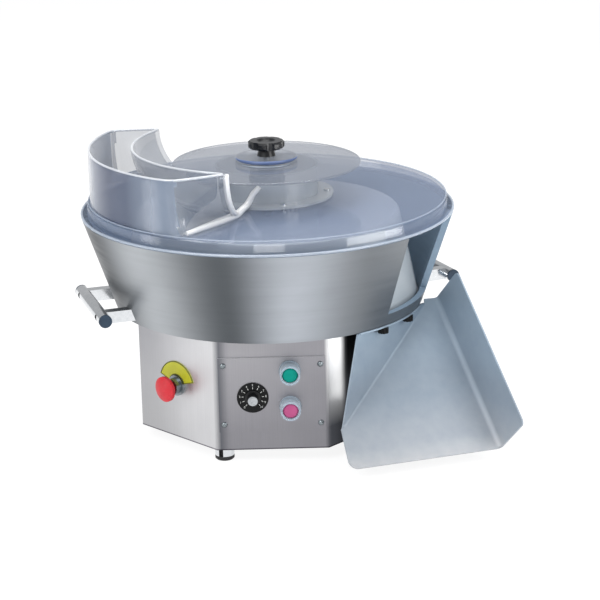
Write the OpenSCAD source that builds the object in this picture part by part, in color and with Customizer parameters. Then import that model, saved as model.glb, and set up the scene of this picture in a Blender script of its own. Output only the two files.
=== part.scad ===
// Bench-top conical dough rounder: an octagonal base carries a fixed bowl, a cone turns inside the bowl,
// and dough pieces rolled between the two leave through a notch onto a chute.
// Frame: origin on the rotor axis at table level, +Z up, control panel facing -Y, sizes in millimetres.
// Azimuths are counted from the front, positive towards +X.

/* [Base] */
// Distance across the flats of the octagonal base
base_flats = 406; // [390:1:420]
// Height of the base from its lower edge to the bowl
base_h = 180; // [172:1:200]
// Thickness of the base's sheet steel
base_sheet = 2; // [1.5:0.5:3]
// Width of the folded lips at the top and bottom of the base
base_lip = 30; // [26:1:36]
// Thickness of the bottom plate
base_plate_t = 3; // [2:0.5:5]
// Thickness of the deck that carries the gearbox
deck_t = 6; // [5:0.5:8]

/* [Feet] */
// Height of a foot
foot_h = 22; // [18:1:30]
// Radius of a foot's metal sleeve
foot_r = 14.7; // [12:0.1:18]
// Thickness of the rubber pad under the sleeve
foot_pad_t = 7; // [5:0.5:9]
// Distance of the feet from the rotor axis
foot_pitch_r = 193; // [180:1:198]

/* [Bowl] */
// Outer radius of the bowl at its rim
bowl_rim_r = 289; // [270:1:310]
// Outer radius of the bowl at its lower edge
bowl_foot_r = 241; // [232:0.5:262]
// Height of the bowl
bowl_h = 144; // [130:1:155]
// Thickness of the bowl's wall, measured level
bowl_wall = 10; // [9:0.5:14]
// Thickness of the bowl's floor
bowl_floor_t = 8; // [6:0.5:10]
// Height of the outlet's sill above the bowl's lower edge
sill_h = 19; // [17:0.5:24]
// Azimuth of the outlet's front edge
notch_az = 45.3; // [42:0.1:46.5]
// Angle that the outlet spans
notch_span = 36; // [30:1:60]

/* [Cone] */
// Radius of the turning cone at its top
cone_top_r = 205; // [198:1:210]
// Running gap between the cone's lower edge and the bowl's wall
cone_gap = 3; // [2.5:0.5:6]
// Gap between the cone's lower edge and the bowl's floor
cone_lift = 5; // [4:0.5:8]
// Depth of the cone's top below the rim
cone_sink = 2; // [1:0.5:6]
// Thickness of the cone's wall and top
cone_wall = 8; // [6:0.5:10]

/* [Drive] */
// Radius of the main shaft
shaft_r = 15; // [12:0.5:18]
// Radius of the motor's case
motor_r = 42; // [36:1:46]
// Length of the motor's case
motor_len = 92; // [80:1:96]

/* [Lid] */
// Height of the lid's flat top above the rim
lid_h = 21; // [18:0.5:28]
// How far the lid's lip stays inside the edge of the rim
lid_lip_inset = 2; // [0:0.5:6]
// Level width between the lid's flat top and the edge of its lip
lid_skirt_w = 8; // [7:0.5:14]
// Thickness of the clear sheet
lid_t = 4; // [3:0.5:5]
// Height of the inlet hopper above the lid's top
hopper_h = 81; // [70:1:90]
// Ledge between the hopper's outer wall and the edge of the lid's flat top
hopper_ledge = 4.5; // [4:0.5:9]
// Radius of the hopper's inner rim
hopper_in_r = 205; // [195:1:215]
// Radius of the foot of the hopper's flared inner wall
hopper_foot_r = 108; // [106:1:120]

/* [Turret] */
// Height of the centre turret
turret_h = 48; // [40:1:60]
// Radius of the turret's wall
turret_r = 80; // [70:1:84]
// Radius of the turret's screw flange
turret_flange_r = 103; // [100:1:104]
// Radius of the clear disc on the turret
disc_r = 146; // [130:1:155]
// Radius of the raised boss on the disc
boss_r = 48; // [40:1:60]
// Height of the boss
boss_h = 9; // [6:0.5:12]

/* [Star knob] */
// Radius over the lobes
star_r = 28.5; // [24:0.5:34]
// Thickness of the lobed head
star_head_h = 12; // [9:0.5:18]
// Height of the stem under the head
star_stem_h = 12; // [8:0.5:20]
// Number of lobes
star_lobes = 7; // [5:1:9]

/* [Handles] */
// Height of the handle bars above the bowl's lower edge
handle_lift = 15; // [12:1:30]
// Distance of the bars' axes from the bowl's wall
handle_reach = 37; // [32:1:50]
// Length of a handle bar
handle_len = 164; // [150:1:200]
// Radius of a handle bar
handle_r = 10; // [8:0.5:13]
// Distance between the two arms of a handle
handle_arm_pitch = 120; // [100:1:140]

/* [Controls] */
// Distance between the panel screws, across
panel_pitch_x = 145; // [130:1:148]
// Distance between the panel screws, up
panel_pitch_z = 93; // [85:1:110]
// Height of the panel's centre above the base's lower edge
panel_lift = 88; // [80:1:95]
// Thickness of the control panel
panel_t = 2; // [1.5:0.5:3]
// Radius of a push button's sleeve
button_sleeve_r = 15; // [13:0.5:16]
// How far a push button's sleeve stands out
button_out = 24; // [20:0.5:30]
// Travel of a push button
button_travel = 4; // [2:0.5:6]
// Radius of the speed dial's plate
dial_r = 23.7; // [20:0.1:25]
// Height of the speed knob's top above the panel
dial_knob_h = 17; // [14:0.5:22]
// Radius of the emergency stop's mushroom head
estop_r = 19.5; // [17:0.5:22]
// Travel of the emergency stop
estop_travel = 5; // [3:0.5:6]

/* [Chute] */
// Length of the chute's lower edge
chute_w = 240; // [220:1:250]
// Length of the chute's floor along its fold
chute_len = 266; // [256:1:270]
// Height of the chute's side wing
chute_wing_h = 76; // [60:1:85]
// Height of the chute's lower edge above the table
chute_drop = 20; // [17:1:23]
// Thickness of the chute's sheet
chute_t = 2.5; // [2:0.5:3]

/* [Hidden] */
$fn = 96;

// Shared clearances, cut overrun and levels
over = 1;
fit = 0.05;
hole_gap = 0.2;
base_z = foot_h;
bowl_z = base_z + base_h;
rim_z = bowl_z + bowl_h;
lid_z = rim_z + lid_h;
disc_z = lid_z + turret_h;
boss_z = disc_z + lid_t;
star_z = boss_z + boss_h;
apothem = base_flats / 2;
inner_apothem = apothem - base_sheet;
deck_z = bowl_z - base_sheet - deck_t;
plate_top_z = base_z + base_sheet + base_plate_t;
panel_z = base_z + panel_lift;
panel_face = apothem + panel_t;
floor_top_z = bowl_z + bowl_floor_t;
sill_z = bowl_z + sill_h;

// Sides of the octagon and the azimuths of what repeats round the axis
flat_az = 45;
corner_az = 22.5;
foot_angles = [-22.5, 67.5, 157.5, 247.5];
handle_angles = [-73, 113];
thumb_front_az = 45.3;
thumb_rear_az = 62;
estop_az = -45;
back_az = 180;
quarter = 90;

// Fasteners
m5_r = 2.5;
m5_head_r = 4.6;
m5_head_h = 3;
m5_len = 10;
m8_r = 4;
m8_head_r = 6.5;
m8_head_h = 5.5;
m8_nut_h = 6.5;
stud_thread_r = 5;

// Base details
vent_w = 4;
vent_len = 60;
vent_pitch = 12;
vent_count = 5;
vent_lift = 120;
gland_lift = 40;
gland_shift = 55;
gland_r = 10;
gland_flange_r = 14;
gland_len = 18;
gland_bore_r = 4;
gland_tail = 12;
gland_recess = 4;
plate_screw_count = 8;
window_margin = 10;
window_edge = 6;
bolt_pitch_r = inner_apothem - base_lip / 2;

// Feet details
foot_core_r = 10.5;
foot_cap_t = 4;
foot_slot_w = 7;
foot_pad_chamfer = 2;

// Bowl details
thumb_r = 2.5;
thumb_inset = 3.5;
thumb_depth = 9;
floor_bore_r = 46;
bolt_head_low = 3.5;

// Cone and bearing details
cone_hub_r = 32;
cone_hub_flange_r = 62;
cone_hub_flange_t = 10;
cone_hub_len = 72;
cone_bolt_pitch_r = 47;
cone_bolt_count = 6;
cone_edge = 4;
cone_spigot_r = 25;
cone_cap_r = 20;
cone_cap_h = 9;
housing_flange_r = 72;
housing_flange_t = 9;
housing_r = 42;
housing_h = 30;
housing_bolt_pitch_r = 58;
housing_bolt_count = 4;
bearing_r = 31;
bearing_h = 16;
bearing_lip = 3;
seal_h = 6;

// Gearbox, motor and controller details
gear_flange_r = 74;
gear_flange_t = 9;
gear_r = 50;
gear_h = 104;
gear_bolt_pitch_r = 62;
gear_bolt_count = 4;
gear_spigot_r = 36;
worm_r = 32;
worm_shift = 46;
worm_len = 118;
worm_drop = 58;
motor_flange_r = 47;
motor_flange_t = 8;
motor_cap_t = 14;
motor_cap_r = 38;
ctrl_size = [70, 110, 46];
ctrl_at = [-125, 20];
ctrl_fin_w = 3;
ctrl_fin_h = 10;
ctrl_fin_count = 7;

// Lid details
lid_edge_r = 4.5;
lid_lip_t = 3.5;
lid_lip_w = 7;
edge_steps = 6;
flare_steps = 9;
arc_steps = 22;
side_steps = 8;
hopper_top_angles = [-29.5, -116, -127, -14.2];
hopper_foot_angles = [-26, -118, -131, -19];
hopper_inset_angles = [-1.3, 1.2, 1.8, -3.3];
turret_screw_pitch_r = 92.5;
turret_screw_count = 5;
turret_screw_az = 15;
boss_bevel = 2;
disc_stud_head_h = 5;
disc_stud_head_r = 9;
star_stem_r = 14.5;
star_scallop_share = 0.3;
star_dish_r = 15;
star_dish_h = 3;
star_socket_h = 16;

// Handle details
handle_wall = 2;
handle_cap_t = 3;
handle_cap_plug = 8;
handle_arm_w = 16;
handle_arm_h = 18;
handle_hole_r = 5;
handle_screw_len = 16;

// Control details
panel_margin_x = 7.5;
panel_margin_z = 12;
button_x = 27;
button_zs = [125, 69];
button_lens_r = 11.6;
button_wall = 3;
button_sink = 2;
button_flange_r = 16.5;
button_flange_t = 3;
button_stem_r = 8;
button_body_r = 11;
button_body_len = 24;
block_w = 28;
block_len = 30;
dial_at = [-29, 84];
dial_t = 1.2;
dial_gap = 0.4;
dial_hole_r = 4.2;
dial_skirt_r = 12;
dial_skirt_h = 2.5;
dial_knob_r = 8;
dial_cap_r = 7.3;
dial_cap_t = 2;
spindle_r = 3;
spindle_grip = 9;
pot_r = 12;
pot_len = 18;
pot_bore_len = 12;
estop_z = 85;
estop_flange_r = 16;
estop_flange_t = 4;
estop_barrel_r = 12.5;
estop_barrel_len = 13;
estop_thread_r = 11;
estop_plunger_r = 8;
estop_neck = 0.5;
estop_head_h = 9;
estop_crown_h = 4;
estop_nut_r = 15;
estop_nut_t = 5;
legend_out_r = 38;
legend_in_r = 16.3;
legend_t = 1;
legend_span = 180;

// Chute details
chute_reach = 164;
chute_corner_az = 57.6;
chute_az = 17;
chute_tilt = 44;
chute_bend = 81;
chute_mid = chute_t / 2;
chute_inset = 2 * chute_t;
chute_bend_r = 3;
chute_spare = 45;
chute_ease = 0.3;
chute_round = 14;
chute_flange_out = 1.5;
chute_flange_w = 36;
chute_wing_round = 9;
chute_top_shares = [-0.1125, 1];
chute_crest_shares = [-0.2, 1];
chute_neck_shares = [-0.208, 0.97];
chute_low_shares = [-0.99, 0.248];
chute_plate_lean_share = 0.195;
thumb_knob_r = 8;
thumb_knob_h = 9;
thumb_knob_grips = 10;
thumb_grip_r = 1.2;

// Outer radius of the bowl at a height
function bowl_r(z) = bowl_foot_r + (z - bowl_z) * (bowl_rim_r - bowl_foot_r) / bowl_h;
// Point on a circle at an azimuth, in plan
function polar(r, az) = r * [sin(az), -cos(az)];
// Point between two others
function between(a, b, share) = a + (b - a) * share;
// Points along an arc and along a straight side, without the last one
function arc(r, az0, az1, steps) = [for (i = [0 : steps - 1]) polar(r, between(az0, az1, i / steps))];
function side(a, b, steps) = [for (i = [0 : steps - 1]) between(a, b, i / steps)];
// Points of a rounded corner, from one angle to another
function corner(at, r, a0, a1) = [for (i = [0 : edge_steps]) let(a = between(a0, a1, i / edge_steps))
    at + r * [cos(a), sin(a)]];

// Places that follow from the bowl
lid_lip_r = bowl_rim_r - lid_lip_inset;
lid_top_r = lid_lip_r - lid_skirt_w;
hopper_out_r = lid_top_r - hopper_ledge;
handle_pitch_r = bowl_r(bowl_z + handle_lift) + handle_reach;
thumb_pitch_r = bowl_foot_r - thumb_inset;
chute_flange_r = bowl_foot_r + chute_flange_out;
chute_corner_r = bowl_foot_r + chute_reach;

// Panel and the window behind it
panel_w = panel_pitch_x + 2 * panel_margin_x;
panel_hh = panel_pitch_z + 2 * panel_margin_z;
window_w = panel_pitch_x - 2 * window_margin;
window_h = panel_hh - 2 * window_edge;
// Radius of the domed screw head
dome_r = (pow(m5_head_r, 2) + pow(m5_head_h, 2)) / (2 * m5_head_h);
// Drop of a handle bar's inner wall across a screw head
handle_bore_r = handle_r - handle_wall;
screw_saddle = handle_bore_r - sqrt(pow(handle_bore_r, 2) - pow(m5_head_r, 2)) + fit;
// Levels of the mushroom head, the worm and the bearing
estop_head_z = estop_barrel_len + estop_travel + estop_neck;
estop_crown_r = (pow(estop_r, 2) + pow(estop_crown_h, 2)) / (2 * estop_crown_h);
worm_z = deck_z - worm_drop;
bearing_z = floor_top_z + housing_h - bearing_h - seal_h;
// Height of a push button's lens, which stays clear of the flange when pressed
lens_h = button_out - button_sink - button_flange_t - button_travel - hole_gap;
lens_z = button_out - button_sink - lens_h;
// Radius of the cone's lower edge, kept clear of the bowl's wall
cone_foot_z = floor_top_z + cone_lift;
cone_foot_r = bowl_r(cone_foot_z) - bowl_wall - cone_gap;
cone_top_z = rim_z - cone_sink;
hub_top_z = cone_top_z - cone_wall;

// Places a child at an azimuth, outwards along local -Y
module at_azimuth(az, r = 0, z = 0) {
    rotate([0, 0, az]) translate([0, -r, z]) children();
}

// Turns a child that is drawn along +Z so that it points out of a face, with its +Y up
module facing_out() {
    rotate([quarter, 0, 0]) children();
}

// Places a child on the front face, drawn outwards along +Z
module on_panel(x, z) {
    translate([x, -panel_face, base_z + z]) facing_out() children();
}

// Places a child on the emergency stop's face
module on_estop() {
    at_azimuth(estop_az, apothem, base_z + estop_z) facing_out() children();
}

// Octagonal prism with a flat to the front
module octagon(flat_r, h) {
    rotate([0, 0, corner_az]) cylinder(r = flat_r / cos(corner_az), h = h, $fn = 8);
}

// Screw with a round head seated at z = 0, its shank pointing down
module screw(r, head_r, head_h, len) {
    cylinder(r = head_r, h = head_h);
    translate([0, 0, -len]) cylinder(r = r, h = len);
}

// Copies a child round the axis
module ring_of(count, r, az0 = 0) {
    for (i = [0 : count - 1]) at_azimuth(az0 + i * 360 / count, r) children();
}

// Octagonal sheet casing with folded lips, a window behind the panel and vents at the back
module base_housing() {
    color("silver") difference() {
        translate([0, 0, base_z]) octagon(apothem, base_h);
        translate([0, 0, base_z + base_sheet]) octagon(inner_apothem, base_h - 2 * base_sheet);
        translate([0, 0, base_z - over]) octagon(inner_apothem - base_lip, base_h + 2 * over);
        translate([-window_w / 2, -apothem - over, panel_z - window_h / 2])
            cube([window_w, base_sheet + 2 * over, window_h]);
        on_estop() translate([0, 0, -base_sheet - over])
            cylinder(r = estop_thread_r + hole_gap, h = base_sheet + 2 * over);
        at_azimuth(back_az, apothem, base_z + gland_lift) translate([gland_shift, 0, 0])
            facing_out() translate([0, 0, -base_sheet - over])
                cylinder(r = gland_r + hole_gap, h = base_sheet + 2 * over);
        for (az = [back_az - flat_az, back_az + flat_az]) vents(az);
        panel_places() translate([0, 0, -panel_t - base_sheet - over])
            cylinder(r = m5_r + fit, h = base_sheet + 2 * over);
        ring_of(plate_screw_count, bolt_pitch_r) translate([0, 0, base_z - over])
            cylinder(r = m5_r + hole_gap, h = base_sheet + 2 * over);
        ring_of(plate_screw_count, bolt_pitch_r) translate([0, 0, bowl_z - base_sheet - over])
            cylinder(r = m8_r + hole_gap, h = base_sheet + 2 * over);
        foot_places() translate([0, 0, base_z - over])
            cylinder(r = m8_r + hole_gap, h = base_sheet + 2 * over);
    }
}

// A block of upright slots through one side of the base
module vents(az) {
    for (i = [0 : vent_count - 1]) at_azimuth(az, apothem, base_z + vent_lift)
        translate([(i - (vent_count - 1) / 2) * vent_pitch, 0, 0]) facing_out()
            translate([0, 0, -base_sheet - over]) linear_extrude(base_sheet + 2 * over)
                slot2d(vent_w, vent_len);
}

// Upright slot with round ends
module slot2d(w, len) {
    square([w, len - w], center = true);
    for (s = [-1, 1]) translate([0, s * (len - w) / 2]) circle(d = w);
}

module foot_places() {
    for (az = foot_angles) at_azimuth(az, foot_pitch_r) children();
}

// Bottom plate, laid on the lower lip
module base_plate() {
    color("darkgray") difference() {
        translate([0, 0, base_z + base_sheet]) octagon(inner_apothem - fit, base_plate_t);
        ring_of(plate_screw_count, bolt_pitch_r) translate([0, 0, base_z])
            cylinder(r = m5_r + fit, h = plate_top_z - base_z + over);
        foot_places() translate([0, 0, base_z]) cylinder(r = m8_r + hole_gap,
            h = plate_top_z - base_z + over);
    }
}

module base_plate_screws() {
    color("silver") ring_of(plate_screw_count, bolt_pitch_r) translate([0, 0, base_z])
        mirror([0, 0, 1]) screw(m5_r, m5_head_r, m5_head_h, m5_len);
}

// Bright sleeves, slotted on the outside
module foot_sleeves() {
    color("gainsboro") foot_places() translate([0, 0, foot_pad_t]) difference() {
        cylinder(r = foot_r, h = foot_h - foot_pad_t);
        translate([0, 0, -over]) cylinder(r = foot_core_r + fit,
            h = foot_h - foot_pad_t - foot_cap_t + over);
        cylinder(r = m8_r + fit, h = foot_h);
        translate([-foot_slot_w / 2, -foot_r - over, -over])
            cube([foot_slot_w, foot_r, foot_h - foot_pad_t - foot_cap_t + over]);
    }
}

// Rubber pads with a core inside the sleeve
module foot_pads() {
    color("black") foot_places() {
        rotate_extrude() polygon([[0, 0], [foot_r - foot_pad_chamfer, 0], [foot_r, foot_pad_chamfer],
            [foot_r, foot_pad_t], [0, foot_pad_t]]);
        translate([0, 0, foot_pad_t]) cylinder(r = foot_core_r, h = foot_h - foot_pad_t - foot_cap_t);
    }
}

module foot_studs() {
    color("silver") foot_places() {
        translate([0, 0, foot_h - foot_cap_t])
            cylinder(r = m8_r, h = foot_cap_t + base_sheet + base_plate_t + m8_nut_h);
        translate([0, 0, plate_top_z]) cylinder(r = m8_head_r, h = m8_nut_h, $fn = 6);
    }
}

// Deck under the upper lip
module deck_plate() {
    color("darkgray") difference() {
        translate([0, 0, deck_z]) octagon(inner_apothem - fit, deck_t);
        ring_of(plate_screw_count, bolt_pitch_r) translate([0, 0, deck_z - over])
            cylinder(r = m8_r + hole_gap, h = deck_t + 2 * over);
        translate([0, 0, deck_z - over]) cylinder(r = gear_spigot_r + fit, h = deck_t + 2 * over);
        ring_of(gear_bolt_count, gear_bolt_pitch_r, flat_az) translate([0, 0, deck_z - over])
            cylinder(r = m8_r + fit, h = deck_t + 2 * over);
    }
}

// Conical wall, cut down to the sill where the dough leaves
module bowl() {
    color("lightsteelblue") difference() {
        rotate_extrude($fn = 180) polygon([[bowl_foot_r - bowl_wall, bowl_z], [bowl_foot_r, bowl_z],
            [bowl_rim_r, rim_z], [bowl_rim_r - bowl_wall, rim_z]]);
        rotate([0, 0, notch_az - quarter]) rotate_extrude(angle = notch_span, $fn = 180)
            translate([cone_top_r, sill_z]) square([bowl_rim_r, bowl_h]);
        for (az = [thumb_front_az, thumb_rear_az]) at_azimuth(az, thumb_pitch_r, bowl_z - over)
            cylinder(r = thumb_r + fit, h = thumb_depth + over);
    }
}

module bowl_floor() {
    color("lightgray") difference() {
        translate([0, 0, bowl_z]) cylinder(r1 = bowl_r(bowl_z) - bowl_wall - fit,
            r2 = bowl_r(floor_top_z) - bowl_wall - fit, h = bowl_floor_t, $fn = 180);
        translate([0, 0, bowl_z - over]) cylinder(r = floor_bore_r, h = bowl_floor_t + 2 * over);
        ring_of(plate_screw_count, bolt_pitch_r) translate([0, 0, bowl_z - over])
            cylinder(r = m8_r + hole_gap, h = bowl_floor_t + 2 * over);
        ring_of(housing_bolt_count, housing_bolt_pitch_r) translate([0, 0, bowl_z - over])
            cylinder(r = m8_r + fit, h = bowl_floor_t + 2 * over);
    }
}

// Bolts through floor, lip and deck, low heads under the cone and nuts under the deck
module bowl_bolts() {
    color("silver") ring_of(plate_screw_count, bolt_pitch_r) {
        translate([0, 0, floor_top_z])
            screw(m8_r, m8_head_r, bolt_head_low, floor_top_z - deck_z + m8_nut_h);
        translate([0, 0, deck_z - m8_nut_h]) cylinder(r = m8_head_r, h = m8_nut_h, $fn = 6);
    }
}

// Places a child at each handle: X along the bar, -Y outwards
module handle_places() {
    for (az = handle_angles) at_azimuth(az, handle_pitch_r, bowl_z + handle_lift) children();
}

module handle_bars() {
    color("silver") handle_places() difference() {
        rotate([0, quarter, 0]) cylinder(r = handle_r, h = handle_len, center = true);
        rotate([0, quarter, 0])
            cylinder(r = handle_r - handle_wall, h = handle_len + 2 * over, center = true);
        handle_arm_places() {
            facing_out() cylinder(r = handle_hole_r, h = handle_r + over);
            rotate([-quarter, 0, 0]) cylinder(r = m5_r + fit, h = handle_r + over);
        }
    }
}

module handle_arm_places() {
    for (s = [-1, 1]) translate([s * handle_arm_pitch / 2, 0, 0]) children();
}

// Flat arms, hollowed to the bar and cut to the bowl's cone
module handle_arms() {
    color("silver") difference() {
        handle_places() handle_arm_places() translate([-handle_arm_w / 2, 0, -handle_arm_h / 2])
            cube([handle_arm_w, handle_pitch_r - bowl_foot_r + bowl_wall, handle_arm_h]);
        translate([0, 0, bowl_z]) cylinder(r1 = bowl_foot_r + fit, r2 = bowl_rim_r + fit, h = bowl_h,
            $fn = 180);
        handle_places() rotate([0, quarter, 0]) cylinder(r = handle_r + fit, h = handle_len, center = true);
        handle_places() handle_arm_places() rotate([-quarter, 0, 0])
            cylinder(r = m5_r + fit, h = handle_r + handle_screw_len);
    }
}

module handle_caps() {
    color("darkslategray") handle_places() for (s = [0, 1]) mirror([s, 0, 0])
        translate([handle_len / 2, 0, 0])
        rotate([0, quarter, 0]) {
            cylinder(r = handle_r, h = handle_cap_t);
            translate([0, 0, -handle_cap_plug]) cylinder(r = handle_r - handle_wall - fit,
                h = handle_cap_plug);
        }
}

module handle_screws() {
    color("black") handle_places() handle_arm_places() rotate([-quarter, 0, 0])
        translate([0, 0, handle_r - handle_wall - screw_saddle]) mirror([0, 0, 1])
            screw(m5_r, m5_head_r, m5_head_h, handle_screw_len);
}

// Screwed front plate with holes for the controls
module control_panel() {
    color("gray") translate([0, -apothem, 0]) facing_out() difference() {
        translate([-panel_w / 2, panel_z - panel_hh / 2, 0]) cube([panel_w, panel_hh, panel_t]);
        for (z = button_zs) translate([button_x, base_z + z, -over])
            cylinder(r = button_body_r + hole_gap, h = panel_t + 2 * over);
        translate([dial_at[0], base_z + dial_at[1], -over])
            cylinder(r = dial_hole_r, h = panel_t + 2 * over);
        for (sx = [-1, 1], sz = [-1, 1])
            translate([sx * panel_pitch_x / 2, panel_z + sz * panel_pitch_z / 2, -over])
                cylinder(r = m5_r + hole_gap, h = panel_t + 2 * over);
    }
}

module panel_places() {
    for (sx = [-1, 1], sz = [-1, 1])
        on_panel(sx * panel_pitch_x / 2, panel_lift + sz * panel_pitch_z / 2) children();
}

module panel_screws() {
    color("gainsboro") panel_places() {
        translate([0, 0, -m5_len]) cylinder(r = m5_r, h = m5_len);
        intersection() {
            translate([0, 0, m5_head_h - dome_r]) sphere(r = dome_r);
            cylinder(r = m5_head_r, h = m5_head_h);
        }
    }
}

// Translucent sleeve round a push button, with its threaded body behind the panel
module button_sleeve(z) {
    on_panel(button_x, z) difference() {
        union() {
            cylinder(r = button_flange_r, h = button_flange_t);
            cylinder(r = button_sleeve_r, h = button_out);
            translate([0, 0, -button_body_len]) cylinder(r = button_body_r, h = button_body_len);
        }
        translate([0, 0, button_flange_t]) cylinder(r = button_sleeve_r - button_wall, h = button_out);
        translate([0, 0, -button_body_len - over])
            cylinder(r = button_stem_r + fit, h = button_body_len + button_flange_t + 2 * over);
    }
}

// Coloured lens on its stem, sunk a little in the sleeve
module button_lens(z) {
    on_panel(button_x, z) {
        translate([0, 0, lens_z]) rotate_extrude()
            polygon([[0, 0], [button_lens_r, 0], [button_lens_r, lens_h - button_sink],
                [button_lens_r - button_sink, lens_h], [0, lens_h]]);
        translate([0, 0, button_travel - button_body_len])
            cylinder(r = button_stem_r, h = lens_z + button_body_len - button_travel);
    }
}

module contact_block(z) {
    on_panel(button_x, z) translate([-block_w / 2, -block_w / 2, -button_body_len - block_len])
        cube([block_w, block_w, block_len]);
}

module start_sleeve() {
    color("aliceblue") button_sleeve(button_zs[0]);
}

module stop_sleeve() {
    color("lavender") button_sleeve(button_zs[1]);
}

module start_lens() {
    color("lightseagreen") button_lens(button_zs[0]);
}

module stop_lens() {
    color("palevioletred") button_lens(button_zs[1]);
}

module start_contact_block() {
    color("dimgray") contact_block(button_zs[0]);
}

module stop_contact_block() {
    color("dimgray") contact_block(button_zs[1]);
}

module dial_plate() {
    color("black") on_panel(dial_at[0], dial_at[1]) difference() {
        cylinder(r = dial_r, h = dial_t);
        translate([0, 0, -over]) cylinder(r = dial_hole_r, h = dial_t + 2 * over);
    }
}

// Skirted knob, bored for the spindle
module speed_knob() {
    color("black") on_panel(dial_at[0], dial_at[1]) difference() {
        union() {
            translate([0, 0, dial_t + dial_gap]) cylinder(r = dial_skirt_r, h = dial_skirt_h);
            translate([0, 0, dial_t + dial_gap])
                cylinder(r = dial_knob_r, h = dial_knob_h - dial_cap_t - dial_t - dial_gap);
        }
        translate([0, 0, -over]) cylinder(r = spindle_r + fit, h = spindle_grip + over);
    }
}

module speed_knob_cap() {
    color("silver") on_panel(dial_at[0], dial_at[1])
        translate([0, 0, dial_knob_h - dial_cap_t]) cylinder(r = dial_cap_r, h = dial_cap_t);
}

module knob_spindle() {
    color("silver") on_panel(dial_at[0], dial_at[1]) translate([0, 0, -panel_t - pot_bore_len])
        cylinder(r = spindle_r, h = panel_t + pot_bore_len + spindle_grip);
}

module potentiometer() {
    color("slategray") on_panel(dial_at[0], dial_at[1]) translate([0, 0, -panel_t - pot_len]) difference() {
        cylinder(r = pot_r, h = pot_len);
        translate([0, 0, pot_len - pot_bore_len]) cylinder(r = spindle_r + fit, h = pot_bore_len + over);
    }
}

// Bright collar, stepped, with its thread through the casing
module estop_collar() {
    color("silver") on_estop() difference() {
        union() {
            cylinder(r = estop_flange_r, h = estop_flange_t);
            cylinder(r = estop_barrel_r, h = estop_barrel_len);
            translate([0, 0, -button_body_len]) cylinder(r = estop_thread_r, h = button_body_len);
        }
        translate([0, 0, -button_body_len - over])
            cylinder(r = estop_plunger_r + fit, h = button_body_len + estop_barrel_len + 2 * over);
    }
}

module estop_locknut() {
    color("silver") on_estop() translate([0, 0, -base_sheet - estop_nut_t]) difference() {
        cylinder(r = estop_nut_r, h = estop_nut_t, $fn = 6);
        translate([0, 0, -over]) cylinder(r = estop_thread_r + fit, h = estop_nut_t + 2 * over);
    }
}

module estop_contact_block() {
    color("dimgray") on_estop() translate([-block_w / 2, -block_w / 2, -button_body_len - block_len])
        cube([block_w, block_w, block_len]);
}

// Half-round legend above the collar
module estop_legend() {
    color("gold") on_estop() rotate_extrude(angle = legend_span)
        translate([legend_in_r, 0]) square([legend_out_r - legend_in_r, legend_t]);
}

module estop_plunger() {
    color("darkred") on_estop() translate([0, 0, estop_travel - button_body_len])
        cylinder(r = estop_plunger_r, h = estop_head_z - estop_travel + button_body_len);
}

// Mushroom head with a gently domed crown
module estop_head() {
    color("crimson") on_estop() translate([0, 0, estop_head_z]) {
        rotate_extrude() polygon([[0, 0], [estop_barrel_r, 0], [estop_r, estop_head_h / 2],
            [estop_r, estop_head_h], [0, estop_head_h]]);
        intersection() {
            translate([0, 0, estop_head_h + estop_crown_h - estop_crown_r]) sphere(r = estop_crown_r);
            translate([0, 0, estop_head_h]) cylinder(r = estop_r, h = estop_crown_h);
        }
    }
}

// Right-angle worm gearbox hung under the deck, its worm housing beside the shaft
module gearbox() {
    color("dimgray") difference() {
        union() {
            translate([0, 0, deck_z - gear_flange_t]) cylinder(r = gear_flange_r, h = gear_flange_t);
            translate([0, 0, deck_z]) cylinder(r = gear_spigot_r, h = deck_t);
            translate([0, 0, deck_z - gear_h]) cylinder(r = gear_r, h = gear_h);
            translate([worm_shift, 0, worm_z]) rotate([quarter, 0, 0])
                cylinder(r = worm_r, h = worm_len, center = true);
            translate([worm_shift, worm_len / 2, worm_z]) rotate([-quarter, 0, 0])
                cylinder(r = motor_flange_r, h = motor_flange_t);
        }
        translate([0, 0, deck_z - gear_h - over]) cylinder(r = shaft_r + fit,
            h = gear_h + deck_t + 2 * over);
        ring_of(gear_bolt_count, gear_bolt_pitch_r, flat_az)
            translate([0, 0, deck_z - gear_flange_t - over])
            cylinder(r = m8_r + fit, h = gear_flange_t + 2 * over);
    }
}

module gearbox_bolts() {
    color("silver") ring_of(gear_bolt_count, gear_bolt_pitch_r, flat_az)
        translate([0, 0, deck_z - gear_flange_t]) mirror([0, 0, 1])
            screw(m8_r, m8_head_r, m8_head_h, gear_flange_t + deck_t);
}

module motor() {
    color("steelblue") translate([worm_shift, worm_len / 2 + motor_flange_t, worm_z])
        rotate([-quarter, 0, 0]) cylinder(r = motor_r, h = motor_len);
}

module motor_end_cap() {
    color("black") translate([worm_shift, worm_len / 2 + motor_flange_t + motor_len, worm_z])
        rotate([-quarter, 0, 0])
        cylinder(r1 = motor_r, r2 = motor_cap_r, h = motor_cap_t);
}

// Speed control box with cooling fins, on the bottom plate
module speed_controller() {
    color("slategray") translate([ctrl_at[0] - ctrl_size[0] / 2, ctrl_at[1] - ctrl_size[1] / 2,
        plate_top_z]) {
        cube(ctrl_size);
        for (i = [0 : ctrl_fin_count - 1])
            translate([i * (ctrl_size[0] - ctrl_fin_w) / (ctrl_fin_count - 1), 0, ctrl_size[2]])
                cube([ctrl_fin_w, ctrl_size[1], ctrl_fin_h]);
    }
}

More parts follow.
